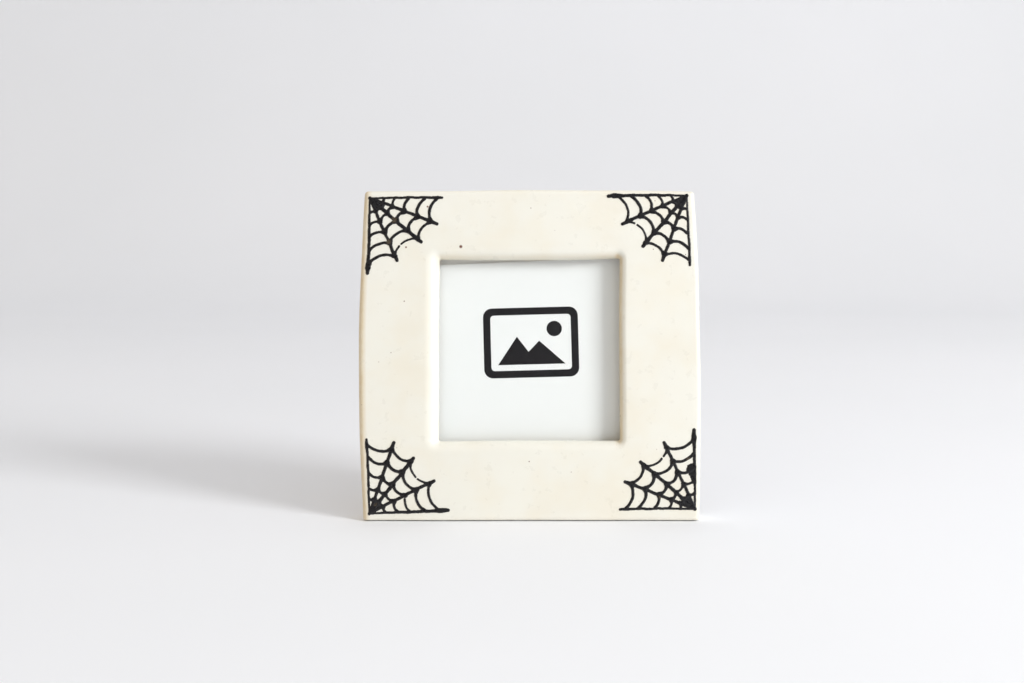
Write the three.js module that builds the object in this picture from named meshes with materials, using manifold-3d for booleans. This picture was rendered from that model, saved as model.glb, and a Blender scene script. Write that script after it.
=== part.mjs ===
// A square ceramic photo frame that stands on an easel back, in millimetres.
// It is built upright, with x to the right, y from the front face to the back and z up from its
// lower edge, and is then leaned back until its flat foot and its leg stand on z = 0.
import * as THREE from 'three';
import { mergeVertices } from 'three/addons/utils/BufferGeometryUtils.js';
import Module from 'manifold-3d';

const wasm = await Module();
wasm.setup();
const degrees = Math.PI / 180;

// The hand-cut ceramic outline. A bow is how far the middle of a side stands out past its ends.
const frameWidth = 150;
const frameHeight = 145;
const leftBow = 2.4;
const rightBow = 1.9;
const topBow = 0.4;
const upperRightInset = 1.4; // how far the upper right corner lies in from the lower right one
const cornerRadius = 1.8;
const sharpestRadius = 0.4;
const frontEdgeRound = 2;
const backEdgeRound = 1.2;
const footDepth = 0.3; // cut off the lower edge at the front, and more behind, so that it stands flat

// The sight opening, through which the print is seen.
const sightWidth = 79.5;
const sightHeight = 80.2;
const sightRise = 2.5; // how far the opening's middle lies above the frame's middle
const sightTopSlope = 0.1; // how much higher the right end of its top edge is than the left
const sightTopDip = 0.7; // how far the middle of its top edge hangs down
const sightCornerRadius = 1;
const sightRoundWidth = 5; // the soft edge round the opening, across the front face
const sightLand = 2; // the straight wall of the opening, behind its soft edge
const lipThickness = 6.5;
const lipWidth = 5; // how far the lip reaches over the glass on each side

// What lies in the pocket behind the lip, from the front to the back.
const pocketCornerRadius = 1.5;
const seatGap = 0.3; // between pieces that rest on each other
const glassClearance = 0.75; // round the glass and the filler card, to the pocket's wall
const glassThickness = 2;
const printClearance = 3.5; // the print is cut this much smaller than the pocket on each side
const printThickness = 0.3;
const printShift = 0.2; // the print lies a little low, and turned, as it was slipped in
const printDrop = 1.7;
const printTurn = 1.5 * degrees;
const printTopSkew = 1.15; // its top edge was cut askew, lower by this much at the left end
const fillerThickness = 1;
const boardClearance = 0.5;
const boardThickness = 2.5;

// Cobwebs in raised black enamel, one in each corner of the front face. Each is the same stencil,
// turned a quarter further: its first thread lies along one edge and its last along the next. They
// were laid on by eye, so each is turned a little more, and shifted along those two threads by
// shares of its size.
const webTurns = [1 * degrees, -1 * degrees, 0.5 * degrees, -2 * degrees];
const webShiftShares = [
  [-0.009, 0.016],
  [-0.02, 0.02],
  [-0.024, 0.085],
  [0.026, 0],
];
const enamelHeight = 0.35;
const enamelGap = 0.05;
const webMargin = 0.1; // between a web and the rounded edge of the front face
const webSize = 31.7;
const threadTurns = [-0.9, 20.8, 40.5, 65.8, 90.4];
const threadShares = [1, 1, 0.945, 0.967, 1.06];
const ringShares = [0.208, 0.36, 0.535, 0.73, 0.91];
const ringStretches = [1.03, 0.985, 0.96, 0.98, 1.04]; // how far out the rings cross each thread
const threadWidth = 1.35;
const tipWidth = 1.4; // a thread ends in a slightly wider drop of enamel
const ringWidth = 1.15;
const ringSag = 0.17; // a ring's pull towards the corner, as a share of the ring's width
const blotShare = 0.23; // the enamel has run together this far out from the corner

// Turn buttons on screws, which run in brass inserts glued into the ceramic.
const buttonReach = 15; // from the screw to the button's end over the board
const buttonTail = 5; // from the screw to the button's outer end
const buttonWidth = 8;
const buttonThickness = 1;
const buttonBoreClearance = 0.15;
const screwFromPocket = 8.25; // from the pocket's wall to a screw's middle
const screwSpread = 25; // from the opening's middle up or down to a screw
const screwRadius = 1.5;
const screwHeadOverhang = 1.3;
const screwHeadHeight = 1.6;
const screwHeadTaper = 0.5; // how much narrower the head is at its top, on each side
const crossSlotLength = 3.4;
const crossSlotWidth = 0.7;
const crossSlotDepth = 0.9;
const crossSlotTurn = 36 * degrees;
const threadClearance = 0.12;
const insertWall = 1;
const insertLength = 7;
const screwTipGap = 0.5; // between the screw's tip and the end of its insert

// The easel leg and its hinge, on the back of the board.
const leanAngle = 9 * degrees;
const openAngle = 20 * degrees; // between the leg and the board
const legGap = 1.2; // between the board and the leg folded flat on it
const legThickness = 2.5;
const legTopWidth = 24;
const legFootWidth = 42;
const legShoulder = 22; // how far below the hinge the leg starts to widen
const hingePlateThickness = 0.8;
const pinRadius = 0.9;
const pinClearance = 0.12;
const pinHeadOverhang = 0.7;
const pinHeadHeight = 0.8;
const leafInset = 2; // how much narrower than the leg the leaf is on each side
const leafLength = 17;
const earThickness = 1;
const earClearance = 0.5;
const earWall = 1.3; // round the pin
const bracketPlateLength = 13;
const bracketBelowStrap = 3;

// Rivets: a domed head outside, and a tail spread in a counterbore on the hidden side.
const rivetRadius = 1.2;
const rivetHeadRadius = 2.3;
const rivetHeadHeight = 0.9;
const rivetTailRadius = 2;
const rivetTailHeight = 0.5;
const rivetClearance = 0.15;
const rivetSpread = 6; // half the distance between the two rivets of a pair

// The wall hanger: a riveted strap whose rolled end holds a loose wire ring.
const strapWidth = 8;
const strapLength = 12; // from the middle of the rolled end to the lower edge
const strapThickness = 0.8;
const strapFromTop = 3.5; // from the board's top edge down to the middle of the rolled end
const ringWire = 0.7;
const ringClearance = 0.15;
const ringPlay = 1; // between the ring and what it reaches round
const ringBend = 1.1; // the radius of the bends at the ends of its straight side

// How finely round shapes are divided.
const roundSides = 24;
const rivetSides = 16;
const domeSteps = 4;
const dropSides = 12;
const threadRingSteps = 6;
const webDetailShare = 0.0006; // of a web's size
const sideSteps = 10;
const cornerSteps = 4;
const backEdgeSteps = 3;
const frontEdgeSteps = 4;
const sightEdgeSteps = 6;
const wireSides = 8;

// Places that follow from the sizes.
const sightRoundDepth = lipThickness - sightLand;
const pocketWidth = sightWidth + 2 * lipWidth;
const pocketHeight = sightHeight + 2 * lipWidth;
const boardHeight = pocketHeight - 2 * boardClearance;
const glassFront = lipThickness + seatGap;
const printFront = glassFront + glassThickness + seatGap;
const fillerFront = printFront + printThickness + seatGap;
const boardFront = fillerFront + fillerThickness + seatGap;
const backFace = boardFront + boardThickness;
const sightMiddle = frameHeight / 2 + sightRise;
const webInset = frontEdgeRound + tipWidth / 2 + webMargin;
const insertRadius = screwRadius + threadClearance + insertWall;

const strapLoopRadius = ringWire + ringClearance + strapThickness;
const strapLoopHeight = sightMiddle + boardHeight / 2 - strapFromTop;
const strapLoopDepth = backFace + seatGap + strapLoopRadius;
const strapLow = strapLoopHeight - strapLength;
const hangerRivetHeight = (strapLow + strapLoopHeight - strapLoopRadius) / 2;

const knuckleRadius = pinRadius + pinClearance + hingePlateThickness;
const legInner = backFace + legGap;
const legOuter = legInner + legThickness;
const hingeDepth = legOuter + seatGap + knuckleRadius;
// The leg runs on above the pin as a heel that meets the board and stops the leg when it is open.
const heelReach = (hingeDepth - legInner) * (1 - Math.cos(openAngle)) + legGap;
const heelLength = (heelReach - seatGap / 2) / Math.sin(openAngle);
const bracketHigh = strapLow - bracketBelowStrap;
const bracketLow = bracketHigh - bracketPlateLength;
const hingeHeight = bracketLow - seatGap - heelLength;
const bracketRivetHeight = (bracketLow + bracketHigh) / 2;
// The frame leans about the front of its flat foot, which then lies on the floor.
const footFront = { y: frontEdgeRound, z: footDepth };
const hingeAboveFloor =
  (hingeHeight - footFront.z) * Math.cos(leanAngle) - (hingeDepth - footFront.y) * Math.sin(leanAngle);

const materials = {
  glaze: new THREE.MeshStandardMaterial({ color: 0xeee8d6, roughness: 0.3, metalness: 0 }),
  enamel: new THREE.MeshStandardMaterial({ color: 0x1c1b20, roughness: 0.25, metalness: 0 }),
  glass: new THREE.MeshStandardMaterial({
    color: 0xe8f2f0,
    roughness: 0.03,
    metalness: 0,
    transparent: true,
    opacity: 0.2,
  }),
  paper: new THREE.MeshStandardMaterial({ color: 0xf7f8f8, roughness: 0.6, metalness: 0 }),
  card: new THREE.MeshStandardMaterial({ color: 0xe9e7e1, roughness: 0.8, metalness: 0 }),
  board: new THREE.MeshStandardMaterial({ color: 0x2a2826, roughness: 0.95, metalness: 0 }),
  steel: new THREE.MeshStandardMaterial({ color: 0xb9bbbd, roughness: 0.32, metalness: 1 }),
  brass: new THREE.MeshStandardMaterial({ color: 0xc7a255, roughness: 0.35, metalness: 1 }),
};

// Booleans on three.js geometries.
function solid(geometry) {
  const bare = geometry.clone();
  bare.deleteAttribute('normal');
  bare.deleteAttribute('uv');
  const merged = mergeVertices(bare, 1e-4);
  return new wasm.Manifold(
    new wasm.Mesh({
      numProp: 3,
      vertProperties: new Float32Array(merged.attributes.position.array),
      triVerts: new Uint32Array(merged.index.array),
    }),
  );
}

function geometryOf(manifold) {
  const made = manifold.getMesh();
  return new THREE.BufferGeometry()
    .setAttribute('position', new THREE.BufferAttribute(new Float32Array(made.vertProperties), 3))
    .setIndex(new THREE.BufferAttribute(new Uint32Array(made.triVerts), 1));
}

function join(...geometries) {
  return geometryOf(geometries.map(solid).reduce((whole, next) => whole.add(next)));
}

function cut(geometry, ...tools) {
  return geometryOf(tools.map(solid).reduce((rest, tool) => rest.subtract(tool), solid(geometry)));
}

// Plain shapes, given by their limits in x, y and z.
function block(x0, x1, y0, y1, z0, z1) {
  const middle = new THREE.Vector3(x0 + x1, y0 + y1, z0 + z1).divideScalar(2);
  return new THREE.BoxGeometry(x1 - x0, y1 - y0, z1 - z0).translate(...middle);
}

function rodAlongY(radius, y0, y1, x, z, sides = roundSides) {
  return new THREE.CylinderGeometry(radius, radius, y1 - y0, sides).translate(x, (y0 + y1) / 2, z);
}

function rodAlongX(radius, x0, x1, y, z) {
  return new THREE.CylinderGeometry(radius, radius, x1 - x0, roundSides)
    .rotateZ(Math.PI / 2)
    .translate((x0 + x1) / 2, y, z);
}

// A flat plate cut to a shape drawn in x and z, from y0 back to y1.
function plate(shape, y0, y1, curveSegments = 6) {
  return new THREE.ExtrudeGeometry(shape, { depth: y1 - y0, bevelEnabled: false, curveSegments })
    .rotateX(Math.PI / 2)
    .translate(0, y1, 0);
}

// A four-sided loop with rounded corners, as points in x and z, clockwise from the upper left corner
// as seen from the front. Its sides are moved in by inset, and each stands out by its bow.
function roundedLoop(corners, bows, inset, radius, y) {
  const sides = corners.map((from, i) => {
    const to = corners[(i + 1) % corners.length];
    const along = to.clone().sub(from).normalize();
    const out = new THREE.Vector2(-along.y, along.x);
    return { along, out, start: from.clone().addScaledVector(out, -inset) };
  });
  const meet = (a, b) => {
    const gap = b.start.clone().sub(a.start);
    return a.start.clone().addScaledVector(a.along, gap.cross(b.along) / a.along.cross(b.along));
  };
  const fillets = sides.map((side, i) => {
    const before = sides[(i + sides.length - 1) % sides.length];
    const corner = meet(before, side);
    const turn = Math.acos(before.along.dot(side.along));
    const back = radius * Math.tan(turn / 2);
    const centre = corner.clone().addScaledVector(side.along, back).addScaledVector(side.out, -radius);
    const end = corner.clone().addScaledVector(side.along, back);
    const start = corner.clone().addScaledVector(before.along, -back);
    return { centre, start, end, from: Math.atan2(before.out.y, before.out.x), turn };
  });
  const points = [];
  fillets.forEach((fillet, i) => {
    for (let k = 0; k < cornerSteps; k += 1) {
      const angle = fillet.from - (fillet.turn * k) / cornerSteps;
      const out = new THREE.Vector2(Math.cos(angle), Math.sin(angle));
      points.push(fillet.centre.clone().addScaledVector(out, radius));
    }
    const next = fillets[(i + 1) % fillets.length];
    for (let k = 0; k < sideSteps; k += 1) {
      const t = k / sideSteps;
      const point = fillet.end.clone().lerp(next.start, t);
      points.push(point.addScaledVector(sides[i].out, bows[i] * 4 * t * (1 - t)));
    }
  });
  return points.map((point) => new THREE.Vector3(point.x, y, point.y));
}

// The closed skin through a list of loops, the last of which joins the first again.
function ringSkin(loops) {
  const count = loops[0].length;
  const positions = loops.flat().flatMap((point) => point.toArray());
  const index = [];
  loops.forEach((loop, i) => {
    const here = i * count;
    const there = ((i + 1) % loops.length) * count;
    for (let k = 0; k < count; k += 1) {
      const next = (k + 1) % count;
      index.push(here + k, there + k, there + next, here + k, there + next, here + next);
    }
  });
  return new THREE.BufferGeometry()
    .setAttribute('position', new THREE.Float32BufferAttribute(positions, 3))
    .setIndex(index);
}

// Everything below the floor, given in the upright frame's coordinates.
function floorBlock() {
  const size = 2 * frameWidth;
  return new THREE.BoxGeometry(size, size, size)
    .translate(0, 0, -size / 2)
    .rotateX(leanAngle)
    .translate(0, footFront.y, footFront.z);
}

const leftSide = -frameWidth / 2 + leftBow;
const rightSide = frameWidth / 2 - rightBow + upperRightInset / 2;
const outlineCorners = [
  new THREE.Vector2(leftSide, frameHeight - topBow),
  new THREE.Vector2(rightSide - upperRightInset, frameHeight - topBow),
  new THREE.Vector2(rightSide, 0),
  new THREE.Vector2(leftSide, 0),
];
const outlineBows = [topBow, rightBow, 0, leftBow];
const sightCorners = [
  new THREE.Vector2(-sightWidth / 2, sightMiddle + sightHeight / 2 - sightTopSlope / 2),
  new THREE.Vector2(sightWidth / 2, sightMiddle + sightHeight / 2 + sightTopSlope / 2),
  new THREE.Vector2(sightWidth / 2, sightMiddle - sightHeight / 2),
  new THREE.Vector2(-sightWidth / 2, sightMiddle - sightHeight / 2),
];
const pocketCorners = [
  new THREE.Vector2(-pocketWidth / 2, sightMiddle + pocketHeight / 2),
  new THREE.Vector2(pocketWidth / 2, sightMiddle + pocketHeight / 2),
  new THREE.Vector2(pocketWidth / 2, sightMiddle - pocketHeight / 2),
  new THREE.Vector2(-pocketWidth / 2, sightMiddle - pocketHeight / 2),
];
const sightBows = [-sightTopDip, 0, 0, 0];
const straight = [0, 0, 0, 0];

const screwPlaces = [];
for (const side of [-1, 1]) {
  for (const level of [1, -1]) {
    screwPlaces.push({
      name: `${level > 0 ? 'upper' : 'lower'}_${side > 0 ? 'right' : 'left'}`,
      side,
      x: side * (pocketWidth / 2 + screwFromPocket),
      z: sightMiddle + level * screwSpread,
    });
  }
}

// The ceramic: a soft-edged slab with the opening, a pocket behind it and four holes for the inserts.
function ceramicFrame() {
  const outline = (inset, y) =>
    roundedLoop(outlineCorners, outlineBows, inset, Math.max(sharpestRadius, cornerRadius - inset), y);
  const sight = (outset, y) => roundedLoop(sightCorners, sightBows, -outset, sightCornerRadius + outset, y);
  const pocket = (y) => roundedLoop(pocketCorners, straight, 0, pocketCornerRadius, y);
  const loops = [];
  for (let k = 0; k <= backEdgeSteps; k += 1) {
    const angle = (k / backEdgeSteps) * (Math.PI / 2);
    const inset = backEdgeRound * (1 - Math.sin(angle));
    loops.push(outline(inset, backFace - backEdgeRound * (1 - Math.cos(angle))));
  }
  for (let k = 0; k <= frontEdgeSteps; k += 1) {
    const angle = (k / frontEdgeSteps) * (Math.PI / 2);
    const inset = frontEdgeRound * (1 - Math.cos(angle));
    loops.push(outline(inset, frontEdgeRound * (1 - Math.sin(angle))));
  }
  for (let k = 0; k <= sightEdgeSteps; k += 1) {
    const angle = (k / sightEdgeSteps) * (Math.PI / 2);
    const outset = sightRoundWidth * (1 - Math.sin(angle));
    loops.push(sight(outset, sightRoundDepth * (1 - Math.cos(angle))));
  }
  loops.push(sight(0, lipThickness), pocket(lipThickness), pocket(backFace));
  const insertHoles = screwPlaces.map(({ x, z }) =>
    rodAlongY(insertRadius + seatGap, backFace - insertLength - seatGap, backFace + 1, x, z),
  );
  return cut(ringSkin(loops), floorBlock(), ...insertHoles);
}

// One cobweb, drawn with its corner at the origin, its first thread along +x and its last down -z.
// Its lines are joined flat, as outlines, and then raised to the enamel's height.
function cobweb() {
  const pointOn = (thread, share) => {
    const angle = -threadTurns[thread] * degrees;
    return new THREE.Vector2(Math.cos(angle), Math.sin(angle)).multiplyScalar(webSize * share);
  };
  const corner = new THREE.Vector2();
  const outlines = [];
  // A line of enamel along some points, with a flat end at each.
  const addLine = (points, width) => {
    const left = [];
    const right = [];
    points.forEach((point, i) => {
      const before = points[Math.max(i - 1, 0)];
      const after = points[Math.min(i + 1, points.length - 1)];
      const along = after.clone().sub(before).setLength(width / 2);
      const across = new THREE.Vector2(-along.y, along.x);
      left.push(point.clone().add(across));
      right.unshift(point.clone().sub(across));
    });
    outlines.push([...left, ...right]);
  };
  const addDrop = (point) => {
    const round = new THREE.EllipseCurve(point.x, point.y, tipWidth / 2, tipWidth / 2);
    outlines.push(round.getPoints(dropSides).slice(1));
  };
  addDrop(corner);
  threadShares.forEach((share, thread) => {
    addLine([corner, pointOn(thread, share)], threadWidth);
    addDrop(pointOn(thread, share));
  });
  ringShares.forEach((share) => {
    for (let thread = 0; thread + 1 < threadTurns.length; thread += 1) {
      const from = pointOn(thread, share * ringStretches[thread]);
      const to = pointOn(thread + 1, share * ringStretches[thread + 1]);
      const middle = from.clone().lerp(to, 0.5);
      const sag = ringSag * from.distanceTo(to);
      const pull = middle.clone().multiplyScalar(1 - (2 * sag) / middle.length());
      addLine(new THREE.QuadraticBezierCurve(from, pull, to).getPoints(threadRingSteps), ringWidth);
    }
  });
  outlines.push([corner, pointOn(1, blotShare), pointOn(2, blotShare), pointOn(3, blotShare)]);
  const flat = outlines
    .map((points) => new wasm.CrossSection([points.map((point) => point.toArray())], 'NonZero'))
    .reduce((whole, next) => whole.add(next));
  return geometryOf(flat.simplify(webSize * webDetailShare).extrude(enamelHeight))
    .rotateX(Math.PI / 2)
    .translate(0, -enamelGap, 0);
}

// A rivet along y: its head stands on y = 0 towards +y and its tail ends at y = -grip.
function rivet(grip) {
  const profile = [new THREE.Vector2(0, -grip), new THREE.Vector2(rivetTailRadius, -grip)];
  profile.push(new THREE.Vector2(rivetTailRadius, -grip + rivetTailHeight));
  profile.push(new THREE.Vector2(rivetRadius, -grip + rivetTailHeight));
  profile.push(new THREE.Vector2(rivetRadius, 0));
  for (let k = 0; k < domeSteps; k += 1) {
    const angle = (k / domeSteps) * (Math.PI / 2);
    profile.push(new THREE.Vector2(rivetHeadRadius * Math.cos(angle), rivetHeadHeight * Math.sin(angle)));
  }
  profile.push(new THREE.Vector2(0, rivetHeadHeight));
  return new THREE.LatheGeometry(profile, rivetSides);
}

// The hole that a rivet's shank needs in a plate from y0 to y1.
function rivetBore(x, z, y0, y1) {
  return rodAlongY(rivetRadius + rivetClearance, y0 - 1, y1 + 1, x, z, rivetSides);
}

// The hole that a rivet needs in the board or the leg, with its counterbore at y = hidden.
function rivetHole(x, z, hidden, outer) {
  const counterbore = rodAlongY(
    rivetTailRadius + rivetClearance,
    hidden - 1,
    hidden + rivetTailHeight + rivetClearance,
    x,
    z,
    rivetSides,
  );
  return join(rivetBore(x, z, hidden, outer), counterbore);
}

const upright = new THREE.Group();
const leg = new THREE.Group();
const hangerRing = new THREE.Group();
upright.add(leg, hangerRing);

function add(group, name, geometry, material, x = 0, y = 0, z = 0) {
  const mesh = new THREE.Mesh(geometry, material);
  mesh.name = name;
  mesh.position.set(x, y, z);
  group.add(mesh);
  return mesh;
}

function addFront() {
  add(upright, 'ceramic_frame', ceramicFrame(), materials.glaze);
  // Each web's corner lies inside the outline's, square to the sides that meet there.
  const names = ['web_upper_left', 'web_upper_right', 'web_lower_right', 'web_lower_left'];
  const insets = [
    [1, -1],
    [-1, -1],
    [-1, 1],
    [1, 1],
  ];
  const stencil = cobweb();
  names.forEach((name, i) => {
    const corner = outlineCorners[i];
    const turn = i * (Math.PI / 2) + webTurns[i];
    const [alongFirst, alongLast] = webShiftShares[i];
    const place = new THREE.Vector3(alongFirst, 0, -alongLast).multiplyScalar(webSize);
    place.applyAxisAngle(new THREE.Vector3(0, 1, 0), turn);
    place.x += corner.x + insets[i][0] * webInset;
    place.z += corner.y + insets[i][1] * webInset;
    const web = add(upright, name, stencil, materials.enamel, place.x, place.y, place.z);
    web.rotation.y = turn;
  });
}

// A flat sheet that lies in the pocket, with the pocket's rounded corners.
function pocketSheet(clearance, thickness) {
  const x = pocketWidth / 2 - clearance - pocketCornerRadius;
  const z = pocketHeight / 2 - clearance - pocketCornerRadius;
  const shape = new THREE.Shape();
  shape.absarc(x, z, pocketCornerRadius, 0, Math.PI / 2, false);
  shape.absarc(-x, z, pocketCornerRadius, Math.PI / 2, Math.PI, false);
  shape.absarc(-x, -z, pocketCornerRadius, Math.PI, 1.5 * Math.PI, false);
  shape.absarc(x, -z, pocketCornerRadius, 1.5 * Math.PI, 2 * Math.PI, false);
  return plate(shape, 0, thickness, 2);
}

function addPocketPieces() {
  const glass = pocketSheet(glassClearance, glassThickness);
  add(upright, 'glass_pane', glass, materials.glass, 0, glassFront, sightMiddle);
  const half = pocketWidth / 2 - printClearance;
  const high = pocketHeight / 2 - printClearance;
  const sheet = new THREE.Shape();
  sheet.moveTo(-half, -high);
  sheet.lineTo(half, -high);
  sheet.lineTo(half, high);
  sheet.lineTo(-half, high - printTopSkew);
  const paper = plate(sheet, 0, printThickness);
  const printHeight = sightMiddle - printDrop;
  const print = add(upright, 'print_insert', paper, materials.paper, printShift, printFront, printHeight);
  print.rotation.y = -printTurn;
  const filler = pocketSheet(glassClearance, fillerThickness);
  add(upright, 'filler_card', filler, materials.card, 0, fillerFront, sightMiddle);
}

function addBackingBoard() {
  const bare = pocketSheet(boardClearance, boardThickness).translate(0, boardFront, sightMiddle);
  const holes = [
    rivetHole(-rivetSpread, bracketRivetHeight, boardFront, backFace),
    rivetHole(rivetSpread, bracketRivetHeight, boardFront, backFace),
    rivetHole(0, hangerRivetHeight, boardFront, backFace),
  ];
  add(upright, 'backing_board', cut(bare, ...holes), materials.board);
}

function addTurnButtons() {
  const buttonFront = backFace + seatGap;
  const headSeat = buttonFront + buttonThickness + seatGap;
  const round = buttonWidth / 2;
  const headRadius = screwRadius + screwHeadOverhang;
  screwPlaces.forEach(({ name, side, x, z }) => {
    add(
      upright,
      `insert_${name}`,
      cut(
        rodAlongY(insertRadius, -insertLength, 0, 0, 0),
        rodAlongY(screwRadius + threadClearance, -insertLength - 1, 1, 0, 0),
      ),
      materials.brass,
      x,
      backFace,
      z,
    );
    const shape = new THREE.Shape();
    shape.absarc(buttonReach - round, 0, round, -Math.PI / 2, Math.PI / 2, false);
    shape.absarc(round - buttonTail, 0, round, Math.PI / 2, (3 * Math.PI) / 2, false);
    const button = cut(
      plate(shape, 0, buttonThickness),
      rodAlongY(screwRadius + buttonBoreClearance, -1, buttonThickness + 1, 0, 0),
    );
    const mesh = add(upright, `turn_button_${name}`, button, materials.steel, x, buttonFront, z);
    mesh.rotation.y = side > 0 ? Math.PI : 0;
    const slotFloor = screwHeadHeight - crossSlotDepth;
    const slots = [0, Math.PI / 2].map((turn) =>
      new THREE.BoxGeometry(crossSlotLength, 2 * crossSlotDepth, crossSlotWidth)
        .translate(0, slotFloor + crossSlotDepth, 0)
        .rotateY(turn + crossSlotTurn),
    );
    const headTop = headRadius - screwHeadTaper;
    const head = new THREE.CylinderGeometry(headTop, headRadius, screwHeadHeight, roundSides);
    head.translate(0, screwHeadHeight / 2, 0);
    const tip = backFace - insertLength + screwTipGap - headSeat;
    const shank = rodAlongY(screwRadius, tip, screwHeadHeight / 4, 0, 0);
    add(upright, `button_screw_${name}`, cut(join(head, shank), ...slots), materials.steel, x, headSeat, z);
  });
}

function addHingeBracket() {
  const earInner = legTopWidth / 2 + earClearance;
  const earOuter = earInner + earThickness;
  const earRadius = pinRadius + pinClearance + earWall;
  const plateFront = backFace + seatGap;
  const plateBack = plateFront + hingePlateThickness;
  const flat = block(-earOuter, earOuter, plateFront, plateBack, bracketLow, bracketHigh);
  // An ear drawn in y and z: from the plate's side down and out to a round end on the pin.
  const outline = new THREE.Shape();
  outline.moveTo(plateFront, bracketHigh - earRadius);
  outline.lineTo(plateFront, hingeHeight - earRadius);
  outline.absarc(hingeDepth, hingeHeight, earRadius, -Math.PI / 2, Math.PI / 6, false);
  outline.lineTo(plateBack, bracketHigh - earRadius);
  // Drawn flat and then turned, so that y, z and the thickness run along y, z and x.
  const turned = new THREE.Matrix4().makeBasis(
    new THREE.Vector3(0, 1, 0),
    new THREE.Vector3(0, 0, 1),
    new THREE.Vector3(1, 0, 0),
  );
  const ear = (from) =>
    new THREE.ExtrudeGeometry(outline, { depth: earThickness, bevelEnabled: false, curveSegments: 8 })
      .applyMatrix4(turned)
      .translate(from, 0, 0);
  const holes = [-rivetSpread, rivetSpread].map((x) =>
    rivetBore(x, bracketRivetHeight, plateFront, plateBack),
  );
  const pinHole = rodAlongX(pinRadius + pinClearance, -earOuter - 1, earOuter + 1, hingeDepth, hingeHeight);
  add(
    upright,
    'hinge_bracket',
    cut(join(flat, ear(-earOuter), ear(earInner)), ...holes, pinHole),
    materials.steel,
  );
  const headSeat = earOuter + seatGap;
  const pin = join(
    rodAlongX(pinRadius, -headSeat - pinHeadHeight / 2, headSeat + pinHeadHeight / 2, 0, 0),
    rodAlongX(pinRadius + pinHeadOverhang, -headSeat - pinHeadHeight, -headSeat, 0, 0),
    rodAlongX(pinRadius + pinHeadOverhang, headSeat, headSeat + pinHeadHeight, 0, 0),
  );
  add(upright, 'hinge_pin', pin, materials.steel, 0, hingeDepth, hingeHeight);
  const rivetSeat = plateBack + seatGap / 2;
  ['left', 'right'].forEach((name, i) => {
    add(
      upright,
      `bracket_rivet_${name}`,
      rivet(rivetSeat - boardFront),
      materials.steel,
      (2 * i - 1) * rivetSpread,
      rivetSeat,
      bracketRivetHeight,
    );
  });
}

// The leg and its hinge leaf, drawn folded flat with the hinge pin at the origin.
function addLeg() {
  const inner = legInner - hingeDepth;
  const outer = legOuter - hingeDepth;
  const leafFront = outer + seatGap;
  const leafBack = leafFront + hingePlateThickness;
  const leafSide = legTopWidth / 2 - leafInset;
  const legTilt = openAngle - leanAngle;
  const reach = (hingeAboveFloor + legThickness) / Math.cos(legTilt);
  const outline = new THREE.Shape();
  const top = legTopWidth / 2;
  const foot = legFootWidth / 2;
  outline.moveTo(-top, heelLength);
  outline.lineTo(top, heelLength);
  outline.lineTo(top, -legShoulder);
  outline.lineTo(foot, -reach);
  outline.lineTo(-foot, -reach);
  outline.lineTo(-top, -legShoulder);
  const floor = new THREE.BoxGeometry(2 * legFootWidth, frameHeight, frameHeight)
    .translate(0, 0, -frameHeight / 2 - hingeAboveFloor)
    .rotateX(-legTilt);
  const rivetDrop = -(leafLength / 2) - knuckleRadius;
  const holes = [-rivetSpread, rivetSpread].map((x) => rivetHole(x, rivetDrop, inner, outer));
  add(leg, 'easel_leg', cut(plate(outline, inner, outer), floor, ...holes), materials.board);

  const leafHoles = [-rivetSpread, rivetSpread].map((x) => rivetBore(x, rivetDrop, leafFront, leafBack));
  const leaf = cut(
    join(
      block(-leafSide, leafSide, leafFront, leafBack, -leafLength, 0),
      rodAlongX(knuckleRadius, -leafSide, leafSide, 0, 0),
    ),
    rodAlongX(pinRadius + pinClearance, -leafSide - 1, leafSide + 1, 0, 0),
    ...leafHoles,
  );
  add(leg, 'leg_leaf', leaf, materials.steel);
  const rivetSeat = leafBack + seatGap / 2;
  ['left', 'right'].forEach((name, i) => {
    add(
      leg,
      `leg_rivet_${name}`,
      rivet(rivetSeat - inner),
      materials.steel,
      (2 * i - 1) * rivetSpread,
      rivetSeat,
      rivetDrop,
    );
  });
  leg.position.set(0, hingeDepth, hingeHeight);
  leg.rotation.x = openAngle;
}

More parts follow.
